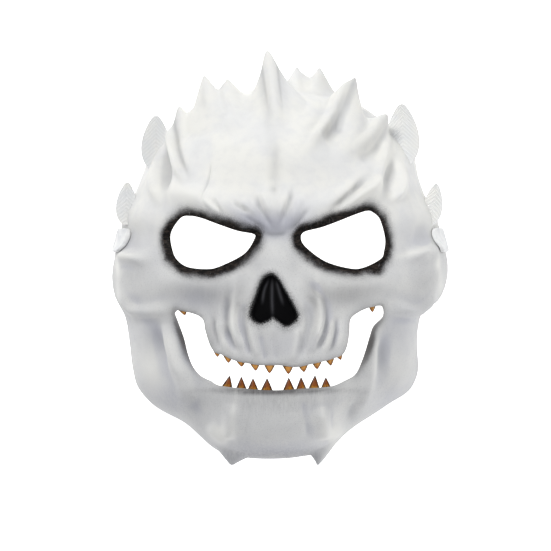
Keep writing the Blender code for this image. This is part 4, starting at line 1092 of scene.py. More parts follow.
def cut_opening(bm, line):
    """Takes the skin out of a closed line and draws the cut edge evenly onto it."""
    loop = plan_loop(line)
    faces = list(bm.faces)
    centres = np.array([face.calc_center_median()[:2] for face in faces])
    inside = loop_distance(centres[:, 0], centres[:, 1], loop) < 0.0
    before = {edge for edge in bm.edges if edge.is_boundary}
    gone = [face for face, out in zip(faces, inside) if out]
    bmesh.ops.delete(bm, geom=gone, context="FACES")
    edges = [edge for edge in bm.edges if edge.is_boundary and edge not in before]
    rim = list({vert for edge in edges for vert in edge.verts})
    beside = {vert: [edge.other_vert(vert) for edge in vert.link_edges if edge.is_boundary] for vert in rim}
    for _ in range(EDGE_PASSES):
        rows = [[other.co[:2] for other in beside[vert]] + [vert.co[:2]] for vert in rim]
        means = np.array([np.mean(row, axis=0) for row in rows])
        for vert, place in zip(rim, nearest_on_loop(means, loop)):
            vert.co = Vector((place[0], place[1], 0.0))
    ring = set(rim)
    near = set()
    for _ in range(EDGE_RINGS):
        ring = {edge.other_vert(vert) for vert in ring for edge in vert.link_edges} - set(rim) - near
        near |= ring
    for _ in range(EDGE_PASSES):
        bmesh.ops.smooth_vert(bm, verts=list(near), factor=0.5, use_axis_x=True, use_axis_y=True)


def pin_thorn_tips(bm):
    """Moves the nearest corner of the grid to the middle of each thorn's root."""
    verts = [vert for vert in bm.verts if not vert.is_boundary]
    plan = np.array([vert.co[:2] for vert in verts])
    for row in THORNS:
        place = dome_to_plan(np.array([math.radians(row.bearing)]), np.array([row.ring]))[0]
        pick = int(np.argmin(((plan - place) ** 2).sum(axis=1)))
        verts[pick].co = Vector((place[0], place[1], 0.0))


def tunnel_lift(points):
    """Raises the rim over the head strap on both sides."""
    away = np.abs(points[:, 1] - STRAP_UP * HALF_HEIGHT)
    room = STRAP_WIDTH / 2 + STRAP_SIDE_ROOM
    open_here = 1.0 - smooth_step(away, room - TUNNEL_CORNER, room + TUNNEL_CORNER)
    low = np.clip(1.0 - points[:, 2] / TUNNEL_FADE, 0.0, 1.0)
    points[:, 2] += STRAP_TUNNEL_HEIGHT * open_here * low
    return points


def paint_traits(x, y, fade, moulded):
    """What the paint has to know at each place of the skin."""
    return {
        "nose_distance": loop_distance(x, y, NOSE_LINE),
        "nose_rib_highlight": rib_share(x, y, NOSE_RIBS),
        "close_hollow": (near_mean(moulded_relief, x, y, HOLLOW_CLOSE) - moulded) * fade,
        "broad_hollow": (near_mean(moulded_relief, x, y, HOLLOW_BROAD) - moulded) * fade,
        "grey_shade": painted_shade(x, y, GREY_SHADES),
        "blue_shade": painted_shade(x, y, BLUE_SHADES),
        "painted_highlight": painted_shade(x, y, PAINTED_HIGHLIGHTS),
        "rim_spray": painted_shade(x, y, RIM_SPRAY),
        "seen_y": y,
    }


def make_face(surface):
    """The moulded face: outer skin with its relief and thorns, smoother inside, joined round every edge."""
    bm = skin_grid()
    refine_skin(bm)
    for line in (EYE_LEFT_LINE, EYE_RIGHT_LINE, MOUTH_LINE):
        cut_opening(bm, line)
    pin_thorn_tips(bm)
    bm.verts.ensure_lookup_table()
    plan = np.array([vert.co[:2] for vert in bm.verts])
    bearing, ring = plan_to_dome(plan)
    plain = dome_point(bearing, ring)
    normal = dome_normal(bearing, ring)
    x, y = plain[:, 0], plain[:, 1]
    fade = rim_fade(ring)
    moulded = moulded_relief(x, y)
    rise = moulded + opening_relief(x, y)
    lining = np.minimum(near_mean(broad_relief, x, y, LINING_REACH), rise)
    outer = plain + normal * (rise * fade)[:, None]
    inner = plain + normal * (lining * fade - WALL)[:, None]
    outer = drawn_out(outer, plain + normal * (broad_relief(x, y) * fade)[:, None])
    eyes = eye_distance(x, y)
    mouth = loop_distance(x, y, MOUTH_LINE)
    hold = (1.0 - smooth_step(np.minimum(eyes, mouth), 0.0, CUT_REACH))[:, None]
    outer[:, :2] += hold * (plain - outer)[:, :2]
    behind = outer - np.outer(WALL / np.maximum(normal[:, 2], STEEPEST), (0.0, 0.0, 1.0))
    inner += hold * (behind - inner)
    at_rim = ring > RIM_RING
    for skin in (outer, inner):
        skin[at_rim, 2] = 0.0
        skin[:, 2] = np.maximum(skin[:, 2], 0.0)
    outer = tunnel_lift(outer)
    inner = tunnel_lift(inner)
    traits = paint_traits(x, y, fade, moulded)
    traits.update({"eye_distance": eyes, "mouth_distance": mouth})
    index_layer = bm.verts.layers.int.new("corner")
    side_layer = bm.verts.layers.float.new("inside")
    layers = {name: bm.verts.layers.float.new(name) for name in traits}
    for number, vert in enumerate(bm.verts):
        vert[index_layer] = number
        vert.co = Vector(outer[number])
        for name, layer in layers.items():
            vert[layer] = traits[name][number]
    added = thicken(bm, WALL)
    for vert in bm.verts:
        inside = vert in added
        vert[side_layer] = 1.0 if inside else 0.0
        vert.co = Vector((inner if inside else outer)[vert[index_layer]])
    if bm.calc_volume(signed=True) < 0.0:
        bmesh.ops.reverse_faces(bm, faces=list(bm.faces))
    bm.verts.layers.int.remove(index_layer)
    return new_piece("mask_face", bm, surface)


def skin_point(bearing, ring, lift=0.0):
    """Point on the broad form of the skin, raised by lift."""
    point = dome_point(bearing, ring)
    out = broad_relief(point[..., 0], point[..., 1]) * rim_fade(ring) + lift
    return point + dome_normal(bearing, ring) * np.asarray(out)[..., None]


def unit_spire(sides, stages):
    """Upright cone of radius 1 and height 1 with rings of corners up its height."""
    bm = bmesh.new()
    bmesh.ops.create_cone(bm, cap_ends=True, segments=sides, radius1=1.0, radius2=0.0, depth=1.0)
    bmesh.ops.translate(bm, vec=(0.0, 0.0, 0.5), verts=bm.verts)
    bmesh.ops.remove_doubles(bm, verts=bm.verts, dist=MERGE_DISTANCE)
    for step in range(1, stages):
        place = (0.0, 0.0, step / stages)
        whole = bm.verts[:] + bm.edges[:] + bm.faces[:]
        bmesh.ops.bisect_plane(bm, geom=whole, plane_co=place, plane_no=(0, 0, 1))
    return bm


def add_fang(bm, row, number, wild, widen, fullness):
    """One fang: a flattened, slightly curved spire with a swollen root in the lip."""
    root = np.array((row.root_across * HALF_WIDTH, row.root_up * HALF_HEIGHT))
    tip = np.array((row.tip_across * HALF_WIDTH, row.tip_up * HALF_HEIGHT))
    along = (tip - root) / np.linalg.norm(tip - root)
    root = root - along * FANG_ROOT
    beside = np.array((-along[1], along[0]))
    high = skin_point(*ring_at(root[0], root[1]))[2] - WALL * FANG_SINK
    bend = wild.uniform(-FANG_BEND, FANG_BEND)
    part = unit_spire(FANG_SIDES, FANG_STAGES)
    share_layer = part.verts.layers.float.new("fang_share")
    number_layer = part.verts.layers.float.new("fang_number")
    side_shade_layer = part.verts.layers.float.new("fang_side_shade")
    for vert in part.verts:
        share = vert.co.z
        radius = math.hypot(vert.co.x, vert.co.y)
        # Share across the fang, for the painted shade at its sides
        edge = abs(vert.co.x) / radius if radius > 0.0 else 1.0
        full = (1.0 - share) ** (fullness - 1.0) if share < 1.0 else 0.0
        place = root + (tip - root) * share
        place = place + beside * (vert.co.x * full * row.half_width * HALF_WIDTH * widen + bend * share**2)
        curl = FANG_CURL * math.sin(math.pi * share)
        vert.co = Vector((place[0], place[1], high + vert.co.y * full * FANG_THICKNESS / 2 + curl))
        vert[share_layer] = share
        vert[number_layer] = number
        vert[side_shade_layer] = edge
    mesh = bpy.data.meshes.new("fang")
    face_outwards(part)
    part.to_mesh(mesh)
    part.free()
    bm.from_mesh(mesh)
    bpy.data.meshes.remove(mesh)


def make_fangs(name, rows, surface, seed, widen, fullness):
    wild = random.Random(seed)
    bm = bmesh.new()
    for number, row in enumerate(rows):
        add_fang(bm, row, number, wild, widen, fullness)
    return new_piece(name, bm, surface)


def make_fin(row, surface):
    """Leaf that stands behind the side of the face, with curved hatching cut into both of its sides."""
    root = np.array((row.root_across * HALF_WIDTH, row.root_up * HALF_HEIGHT))
    tip = np.array((row.tip_across * HALF_WIDTH, row.tip_up * HALF_HEIGHT))
    along = tip - root
    length = np.linalg.norm(along)
    beside = np.array((along[1], -along[0])) / length
    deep = 1.0 if row.root_across > 0.0 else FIN_LEFT_HATCH
    bm = bmesh.new()
    bmesh.ops.create_grid(bm, x_segments=FIN_ACROSS, y_segments=FIN_ALONG, size=1.0)
    hatch_layer = bm.verts.layers.float.new("hatch")
    for vert in bm.verts:
        bow = math.sqrt(max(1.0 - vert.co.y**2, 0.0))
        across, share = vert.co.x * bow, (vert.co.y + 1.0) / 2
        vert[hatch_layer] = share * length * FIN_RAKE + abs(across * row.half_width * HALF_WIDTH)
        width = across * (1.0 - FIN_POINT * share**2) * row.half_width * HALF_WIDTH * FIN_WIDE
        place = root + along * share + beside * width
        high = (row.root_high + (row.tip_high - row.root_high) * share) * DEPTH
        vert.co = Vector((place[0], place[1], high))
    added = thicken(bm, FIN_THICKNESS)
    middle = Vector(root + along / 2)
    for vert in bm.verts:
        edge = abs((vert.co.xy - middle).dot(Vector(beside))) / (row.half_width * HALF_WIDTH)
        thin = 1.0 - FIN_THIN * min(edge, 1.0) ** 2
        wave = math.sin(vert[hatch_layer] * 2 * math.pi / FIN_PITCH) * FIN_HATCH * deep
        up = -1.0 if vert in added else 1.0
        vert.co.z += up * wave * thin
    face_outwards(bm)
    return new_piece("fin_" + row.name, bm, surface)


def wall_points(side, ups, highs, lifts):
    """Points on the outside of a side wall, by their y and their heights above the rim."""
    angles = np.linspace(WALL_FIRST_ANGLE, math.pi / 2, WALL_SAMPLES)
    edge = np.sin(angles)[None, :] * np.ones((len(ups), 1))
    bearing = np.full(edge.shape, 0.0 if side > 0 else math.pi)
    for _ in range(RING_TRIES):
        reach = outline_reach(bearing, edge) * edge * HALF_HEIGHT
        lean = np.arcsin(np.clip(ups[:, None] / reach, -1.0, 1.0))
        bearing = lean if side > 0 else math.pi - lean
    falls = -dome_point(bearing, edge)[..., 2]
    ring = np.array([np.interp(-high, fall, row) for high, fall, row in zip(highs, falls, edge)])
    turn = np.array([np.interp(place, row, way) for place, row, way in zip(ring, edge, bearing)])
    return skin_point(turn, ring, lifts)


def wall_frame(side, high):
    """Middle of the strap's bed on a wall, the direction across it, the way out, and the clearance."""
    across = np.linspace(-0.5, 0.5, BED_SAMPLES) * STRAP_WIDTH
    ups = STRAP_UP * HALF_HEIGHT + np.concatenate([across, [0.0, 0.0]])
    highs = np.full(len(ups), high)
    highs[-1] = high * (1.0 - RIM_FADE)
    points = wall_points(side, ups, highs, 0.0)
    bed, middle, low = points[:-2], points[-2], points[-1]
    wide = bed[-1] - bed[0]
    wide /= np.linalg.norm(wide)
    out = np.cross(wide, low - middle) * -side
    out /= np.linalg.norm(out)
    return middle, wide, out, ((bed - middle) @ out).max()


def make_tab(side, name, surface):
    """Rounded tab that lies on the side wall over the end of the strap."""
    bm = bmesh.new()
    bmesh.ops.create_grid(bm, x_segments=TAB_CELLS, y_segments=TAB_CELLS, size=1.0)
    half = (TAB_LENGTH / 2, TAB_WIDTH / 2)
    for vert in bm.verts:
        corner = Vector((vert.co.x * half[0], vert.co.y * half[1]))
        past = Vector((abs(corner.x) - half[0] + TAB_CORNER, abs(corner.y) - half[1] + TAB_CORNER))
        if past.x > 0 and past.y > 0:
            rounded = past * (max(past.x, past.y) / past.length)
            corner.x = math.copysign(half[0] - TAB_CORNER + rounded.x, corner.x)
            corner.y = math.copysign(half[1] - TAB_CORNER + rounded.y, corner.y)
        vert.co = Vector((corner.x, corner.y, 0.0))
    thicken(bm, TAB_THICKNESS)
    face_outwards(bm)
    sharp = [edge for edge in bm.edges if edge.calc_face_angle(0.0) > math.radians(TAB_SHARP_ANGLE)]
    bmesh.ops.bevel(bm, geom=sharp, affect="EDGES", offset=TAB_EDGE, segments=3, profile=0.5, material=-1)
    flat = np.array([vert.co for vert in bm.verts])
    highs = TAB_TOP_HIGH * DEPTH - (TAB_LENGTH / 2 + flat[:, 0]) * TAB_STEEPNESS
    lifts = TAB_LIFT + flat[:, 2] - flat[:, 2].min()
    laid = wall_points(side, STRAP_UP * HALF_HEIGHT + flat[:, 1], highs, lifts)
    for vert, place in zip(bm.verts, laid):
        vert.co = Vector(place)
    face_outwards(bm)
    return new_piece(name, bm, surface)


def strap_route(side):
    """Middle line of the strap and the direction of its width, from a tab to the middle of its arch."""
    places, widths = [], []
    start_high = TAB_TOP_HIGH * DEPTH - TAB_LENGTH * TAB_STEEPNESS - STRAP_START_GAP
    for high in np.linspace(start_high, STRAP_BEND_HIGH, STRAP_WALL_STAGES):
        middle, wide, out, proud = wall_frame(side, high)
        places.append(middle + out * (proud + STRAP_LIFT + STRAP_THICKNESS / 2))
        widths.append(wide)
    middle, wide, out, proud = wall_frame(side, STRAP_TUNNEL_HEIGHT)
    radius = STRAP_TUNNEL_HEIGHT - STRAP_THICKNESS / 2 - GAP
    sideways = np.cross(wide, (0.0, 0.0, 1.0)) * side
    for turn in STRAP_TURNS:
        angle = math.radians(turn)
        place = middle + sideways * (proud + radius * math.cos(angle))
        place[2] = STRAP_TUNNEL_HEIGHT - radius * math.sin(angle)
        places.append(place)
        widths.append(wide)
    for stage in STRAP_INSIDE:
        lean = math.radians(stage.lean)
        high = (STRAP_WIDTH * math.sin(lean) + STRAP_THICKNESS * math.cos(lean)) / 2
        places.append((side * stage.across * HALF_WIDTH, stage.up * HALF_HEIGHT, high))
        widths.append((0.0, math.cos(lean), math.sin(lean)))
    return places, widths


def make_strap(surface):
    """Knitted elastic band from tab to tab, with ribbed faces and soft edges. Returns it and its length."""
    right_places, right_widths = strap_route(1)
    left_places, left_widths = strap_route(-1)
    places = np.array(right_places + left_places[-2::-1])
    widths = np.array(right_widths + left_widths[-2::-1])
    run = np.concatenate([[0.0], np.cumsum(np.linalg.norm(np.diff(places, axis=0), axis=1))])
    steps = np.linspace(0.0, run[-1], STRAP_CELLS + 1)
    middles = np.stack([through_knots(steps, run, places[:, axis]) for axis in range(3)], axis=1)
    wides = np.stack([np.interp(steps, run, widths[:, axis]) for axis in range(3)], axis=1)
    alongs = np.gradient(middles, axis=0)
    alongs /= np.linalg.norm(alongs, axis=1, keepdims=True)
    thicks = np.cross(alongs, wides)
    thicks /= np.linalg.norm(thicks, axis=1, keepdims=True)
    wides = np.cross(thicks, alongs)
    half_high = (np.abs(wides[:, 2]) * STRAP_WIDTH + np.abs(thicks[:, 2]) * STRAP_THICKNESS) / 2
    middles[:, 2] = np.maximum(middles[:, 2], half_high)
    length = float(np.linalg.norm(np.diff(middles, axis=0), axis=1).sum())
    bm = bmesh.new()
    bmesh.ops.create_grid(bm, x_segments=STRAP_CELLS, y_segments=STRAP_RIBS * 2, size=0.5)
    place_layer = bm.loops.layers.uv.new("band")
    for face in bm.faces:
        for loop in face.loops:
            loop[place_layer].uv = ((loop.vert.co.x + 0.5) * length, (loop.vert.co.y + 0.5) * STRAP_WIDTH)
    spots = [(vert.co.x + 0.5, vert.co.y) for vert in bm.verts]
    index_layer = bm.verts.layers.int.new("corner")
    for number, vert in enumerate(bm.verts):
        vert[index_layer] = number
    added = thicken(bm, STRAP_THICKNESS)
    for vert in bm.verts:
        share, across = spots[vert[index_layer]]
        step = round(share * STRAP_CELLS)
        rib = round((across + 0.5) * STRAP_RIBS * 2)
        edge = 1.0 - (2 * abs(across)) ** STRAP_EDGE_POWER * STRAP_SOFT_EDGE
        half = STRAP_THICKNESS / 2 * edge * (1.0 if rib % 2 else STRAP_RIB)
        up = -half if vert in added else half
        vert.co = Vector(middles[step] + wides[step] * across * STRAP_WIDTH + thicks[step] * up)
    bm.verts.layers.int.remove(index_layer)
    face_outwards(bm)
    return new_piece("head_strap", bm, surface), length


def add_node(tree, kind, settings=None, inputs=None):
    """Adds a shader node. Each input takes a value or the socket that feeds it."""
    node = tree.nodes.new(kind)
    for name, value in (settings or {}).items():
        setattr(node, name, value)
    for name, value in (inputs or {}).items():
        socket = node.inputs[name]
        if isinstance(value, bpy.types.NodeSocket):
            tree.links.new(value, socket)
        else:
            socket.default_value = value
    return node


def sums(tree, operation, first, second=0.0, third=0.0):
    node = add_node(tree, "ShaderNodeMath", {"operation": operation}, {0: first, 1: second, 2: third})
    return node.outputs[0]


def times(tree, first, second):
    return sums(tree, "MULTIPLY", first, second)


def scaled(tree, value, size, base):
    """The value times a size, on top of a base."""
    return sums(tree, "MULTIPLY_ADD", value, size, base)


def about_zero(tree, pattern):
    """A pattern that lies around a half, moved to lie around 0."""
    return sums(tree, "SUBTRACT", pattern, 0.5)


def blend(tree, mask, first, second):
    """Colour that goes from the first to the second as the mask goes from 0 to 1."""
    settings = {"data_type": "RGBA", "blend_type": "MIX", "clamp_factor": True}
    node = add_node(tree, "ShaderNodeMix", settings, {"Factor": mask, 6: first, 7: second})
    return node.outputs[2]


def fade(tree, value, ramp):
    """Smooth change of a value along a ramp."""
    settings = {"interpolation_type": "SMOOTHSTEP", "clamp": True}
    inputs = {"Value": value, "From Min": ramp.low, "From Max": ramp.high}
    inputs.update({"To Min": ramp.start, "To Max": ramp.end})
    return add_node(tree, "ShaderNodeMapRange", settings, inputs).outputs["Result"]


def trait(tree, name):
    return add_node(tree, "ShaderNodeAttribute", {"attribute_name": name}).outputs["Fac"]


def cloud(tree, place, pattern):
    inputs = {"Vector": place, "Scale": pattern.scale}
    inputs.update({"Detail": pattern.layers, "Roughness": pattern.roughness})
    return add_node(tree, "ShaderNodeTexNoise", None, inputs).outputs["Fac"]


def stretched(tree, place, scale):
    """Coordinates drawn out or packed along each axis, for streaky patterns."""
    node = add_node(tree, "ShaderNodeVectorMath", {"operation": "MULTIPLY"}, {0: place, 1: scale})
    return node.outputs["Vector"]


def new_group(name, inputs, outputs):
    """Empty shader group. Each input and output is a name and a kind of socket."""
    group = bpy.data.node_groups.new(name, "ShaderNodeTree")
    for label, kind, value in inputs:
        socket = group.interface.new_socket(name=label, in_out="INPUT", socket_type=kind)
        if value is not None:
            socket.default_value = value
    for label, kind in outputs:
        group.interface.new_socket(name=label, in_out="OUTPUT", socket_type=kind)
    return group, group.nodes.new("NodeGroupInput"), group.nodes.new("NodeGroupOutput")


def use_group(tree, group, inputs):
    return add_node(tree, "ShaderNodeGroup", {"node_tree": group}, inputs)


def airbrush_group():
    """Sprayed paint: full up to a reach from an edge, then a soft and speckled end."""
    group, inside, outside = new_group(
        "airbrush",
        (
            ("Place", "NodeSocketVector", None),
            ("Distance", "NodeSocketFloat", 0.0),
            ("Reach", "NodeSocketFloat", 0.005),
            ("Soft", "NodeSocketFloat", 0.003),
            ("Wander", "NodeSocketFloat", 0.001),
            ("Speckle", "NodeSocketFloat", 0.002),
        ),
        (("Mask", "NodeSocketFloat"),),
    )
    given = inside.outputs
    slow = about_zero(group, cloud(group, given["Place"], SPRAY_DRIFT))
    fine = about_zero(group, cloud(group, given["Place"], SPRAY_DOTS))
    moved = scaled(group, slow, given["Wander"], given["Distance"])
    moved = scaled(group, fine, given["Speckle"], moved)
    past = sums(group, "DIVIDE", sums(group, "SUBTRACT", moved, given["Reach"]), given["Soft"])
    group.links.new(fade(group, past, SPRAY_END), outside.inputs["Mask"])
    return group


def foam_grain_group():
    """Height of the foam's skin: slow waves from the mould, fine pores and a few pin holes."""
    group, inside, outside = new_group(
        "foam grain",
        (
            ("Place", "NodeSocketVector", None),
            ("Waves", "NodeSocketFloat", 0.5),
            ("Pores", "NodeSocketFloat", 0.5),
        ),
        (("Height", "NodeSocketFloat"),),
    )
    given = inside.outputs
    waves = times(group, cloud(group, given["Place"], MOULD_WAVES), given["Waves"])
    pores = times(group, cloud(group, given["Place"], FOAM_PORES), given["Pores"])
    inputs = {"Vector": given["Place"], "Scale": PIN_HOLE_SCALE}
    spots = add_node(group, "ShaderNodeTexVoronoi", {"feature": "F1"}, inputs)
    holes = times(group, fade(group, spots.outputs["Distance"], PIN_HOLE), given["Pores"])
    height = sums(group, "ADD", sums(group, "ADD", waves, pores), holes)
    group.links.new(height, outside.inputs["Height"])
    return group


def scratches_group():
    """Thin pale scuffs that run one way."""
    group, inside, outside = new_group(
        "scuffs",
        (("Place", "NodeSocketVector", None), ("Amount", "NodeSocketFloat", 0.5)),
        (("Mask", "NodeSocketFloat"),),
    )
    given = inside.outputs
    inputs = {"Vector": given["Place"], "Rotation": (0.0, 0.0, SCUFF_TURN), "Scale": SCUFF_STRETCH}
    turned = add_node(group, "ShaderNodeMapping", None, inputs).outputs["Vector"]
    lines = fade(group, cloud(group, turned, SCUFF_LINES), SCUFF_LINE)
    patches = fade(group, cloud(group, given["Place"], SCUFF_PATCHES), SCUFF_PATCH)
    mask = times(group, times(group, lines, patches), given["Amount"])
    group.links.new(mask, outside.inputs["Mask"])
    return group


def new_material(name):
    surface = bpy.data.materials.new(name)
    surface.use_nodes = True
    tree = surface.node_tree
    place = add_node(tree, "ShaderNodeTexCoord").outputs["Object"]
    return surface, tree, tree.nodes["Principled BSDF"], place


def bump(tree, shader, height, distance):
    node = add_node(tree, "ShaderNodeBump", None, {"Height": height, "Distance": distance, "Strength": 1.0})
    tree.links.new(node.outputs["Normal"], shader.inputs["Normal"])


def foam_bump(tree, shader, place, grain, size):
    """Raises the grain of the foam on a surface."""
    height = use_group(tree, grain, {"Place": place, "Waves": size.waves, "Pores": size.pores})
    bump(tree, shader, height.outputs["Height"], GRAIN_DEPTH)


def spray(tree, airbrush, place, distance, coat):
    """Mask of one coat of sprayed paint at a distance from an edge."""
    inputs = {"Place": place, "Distance": distance, "Reach": coat.reach, "Soft": coat.soft}
    inputs.update({"Wander": coat.wander, "Speckle": coat.speckle})
    return use_group(tree, airbrush, inputs).outputs["Mask"]


def foam_white(tree, place, mottle, speckle, low):
    """White foam, warm and cool in patches, greyer and speckled on the lower face, where the grey is partly
    a wash and partly painted shade.
    """
    paint = blend(tree, fade(tree, mottle, FOAM_TINT), FOAM_WARM, FOAM_COOL)
    paint = blend(tree, fade(tree, cloud(tree, place, FOAM_CLOUDS), CLOUD_GREY), paint, GREY_WASH_AND_SHADE)
    # Lower face greyer: partly a grey wash, partly painted shade
    paint = blend(tree, times(tree, low, fade(tree, mottle, LOW_FACE_GREY)), paint, GREY_WASH_AND_SHADE)
    return blend(tree, times(tree, fade(tree, speckle, SPECKLE_GREY), low), paint, HAZE_GREY)


def shade_and_highlight_spots(tree, place, up, paint):
    """Grey and bluish spots, partly airbrushed and partly painted shade, and painted highlights. The strokes
    of the brush show most on the chin.
    """
    streaks = cloud(tree, stretched(tree, place, STROKES_STRETCH), BRUSH_STROKES)
    strokes = scaled(tree, about_zero(tree, streaks), fade(tree, up, STROKE_SIZE), 1.0)
    # Grey spots: partly airbrushed grey, partly painted shade in hollows, creases and on the shaded sides of
    # ridges
    grey = times(tree, trait(tree, "grey_shade"), strokes)
    paint = blend(tree, times(tree, grey, SHADE_GREY), paint, HAZE_GREY)
    blue = times(tree, trait(tree, "blue_shade"), strokes)
    paint = blend(tree, times(tree, blue, SHADE_BLUE), paint, BLUE_GREY)
    # Painted highlights: ridges, pads and facets lightened towards white
    return blend(tree, times(tree, trait(tree, "painted_highlight"), HIGHLIGHT_SHARE), paint, FOAM_WARM)


def hollow_shades(tree, place, speckle, low, paint):
    """Grey in broad hollows and in creases, partly airbrushed and partly painted shade, bluish in patches of
    the lower face.
    """
    # Painted shade: grey by how far each place lies below the mean of the relief round it
    broad = trait(tree, "broad_hollow")
    hollow = scaled(tree, about_zero(tree, speckle), HOLLOW_SPECKLE, broad)
    paint = blend(tree, fade(tree, hollow, BROAD_GREY), paint, HOLLOW_GREY)
    patch = fade(tree, cloud(tree, place, BLUE_PATCHES), BLUE_PATCH)
    blue = times(tree, times(tree, fade(tree, broad, BROAD_BLUE), patch), low)
    paint = blend(tree, times(tree, blue, PATCH_BLUE), paint, BLUE_GREY)
    return blend(tree, fade(tree, trait(tree, "close_hollow"), CLOSE_GREY), paint, CREASE_GREY)


def rim_shade(tree, place, speckle, up, paint):
    """Grey low on the sides, just above the rim that the mask lies on. It is strongest at the chin."""
    above = add_node(tree, "ShaderNodeSeparateXYZ", None, {"Vector": place}).outputs["Z"]
    above = scaled(tree, about_zero(tree, speckle), RIM_SPECKLE, above)
    mask = times(tree, fade(tree, above, RIM_GREY), fade(tree, up, RIM_GREY_UP))
    return blend(tree, mask, paint, EDGE_GREY)


def eye_rims(tree, place, eye, airbrush, scuffs, paint):
    """Grey haze and scuffed black round the eyes. Returns the paint and the mask of the black."""
    # The grey haze is kept thinner on the painted highlights
    haze_share = scaled(tree, trait(tree, "painted_highlight"), -EYE_HAZE_OFF_HIGHLIGHT, EYE_HAZE_MOST)
    haze = spray(tree, airbrush, place, eye, EYE_HAZE)
    paint = blend(tree, times(tree, haze, haze_share), paint, HAZE_GREY)
    black = spray(tree, airbrush, place, eye, EYE_RIM)
    scuff = use_group(tree, scuffs, {"Place": place, "Amount": SCUFF_AMOUNT}).outputs["Mask"]
    brush = cloud(tree, stretched(tree, place, HAIRS_STRETCH), BRUSH_HAIRS)
    colour = blend(tree, fade(tree, brush, HAIR_BROWN), EYE_BLACK, EYE_BROWN)
    mask = times(tree, black, sums(tree, "SUBTRACT", 1.0, scuff))
    return blend(tree, mask, paint, colour), black


def black_nose(tree, place, airbrush, paint):
    """Black nose with painted highlights on its ribs and a haze round it. Returns the paint and the mask of
    the black.
    """
    nose = trait(tree, "nose_distance")
    haze = spray(tree, airbrush, place, nose, NOSE_HAZE)
    paint = blend(tree, times(tree, haze, NOSE_HAZE_SHARE), paint, HAZE_GREY)
    black = spray(tree, airbrush, place, nose, NOSE_COAT)
    # Painted highlight: the ribs inside the nose lightened to grey
    ribs = times(tree, trait(tree, "nose_rib_highlight"), NOSE_HIGHLIGHT_SHARE)
    return blend(tree, black, paint, blend(tree, ribs, NOSE_BLACK, NOSE_HIGHLIGHT_GREY)), black


def lip_edges(tree, place, mouth, airbrush, paint):
    """Haze and a dark line along the cut edge of the mouth."""
    share = scaled(tree, trait(tree, "rim_spray"), LIP_SPRAY_MORE, LIP_SPRAY_LEAST)
    haze = times(tree, spray(tree, airbrush, place, mouth, LIP_HAZE), share)
    paint = blend(tree, times(tree, haze, LIP_HAZE_SHARE), paint, HAZE_GREY)
    line = spray(tree, airbrush, place, mouth, LIP_LINE)
    return blend(tree, times(tree, line, share), paint, LIP_DARK)


def face_paint(airbrush, grain, scuffs):
    """White foam with grey and bluish shading, black eye rims and nose, and dark edges."""
    surface, tree, shader, place = new_material("painted_foam")
    up = trait(tree, "seen_y")
    low = fade(tree, up, LOW_FACE)
    mottle = cloud(tree, place, FOAM_MOTTLE)
    speckle = cloud(tree, place, PAINT_SPECKLE)
    eye = scaled(tree, trait(tree, "rim_spray"), -RIM_EXTRA, trait(tree, "eye_distance"))
    mouth = scaled(tree, trait(tree, "rim_spray"), -RIM_EXTRA, trait(tree, "mouth_distance"))

    paint = foam_white(tree, place, mottle, speckle, low)
    paint = shade_and_highlight_spots(tree, place, up, paint)
    paint = hollow_shades(tree, place, speckle, low, paint)
    paint = rim_shade(tree, place, speckle, up, paint)
    paint, eye_black = eye_rims(tree, place, eye, airbrush, scuffs, paint)
    paint, nose_black = black_nose(tree, place, airbrush, paint)
    paint = lip_edges(tree, place, mouth, airbrush, paint)
    lining = blend(tree, mottle, FOAM_WARM, INSIDE_WHITE)
    lining = blend(tree, spray(tree, airbrush, place, eye, EYE_OVERSPRAY), lining, EYE_BLACK)
    paint = blend(tree, trait(tree, "inside"), paint, lining)
    tree.links.new(paint, shader.inputs["Base Color"])

    rough = scaled(tree, nose_black, NOSE_ROUGHER, fade(tree, eye_black, FACE_ROUGH))
    rough = scaled(tree, about_zero(tree, mottle), MOTTLE_ROUGHER, rough)
    tree.links.new(rough, shader.inputs["Roughness"])
    shader.inputs["Specular IOR Level"].default_value = FOAM_SPECULAR
    foam_bump(tree, shader, place, grain, FACE_GRAIN)
    return surface


def fin_foam(grain):
    """The same white foam, with grey left in the hatching."""
    surface, tree, shader, place = new_material("fin_foam")
    mottle = cloud(tree, place, FIN_MOTTLE)
    lines = sums(tree, "SINE", times(tree, trait(tree, "hatch"), 2 * math.pi / FIN_PITCH))
    paint = blend(tree, fade(tree, mottle, SOFT_TINT), FIN_WARM, FIN_COOL)
    paint = blend(tree, fade(tree, lines, HATCH_GREY), paint, CREASE_GREY)
    tree.links.new(paint, shader.inputs["Base Color"])
    tree.links.new(fade(tree, mottle, FIN_ROUGH), shader.inputs["Roughness"])
    foam_bump(tree, shader, place, grain, FIN_GRAIN)
    return surface


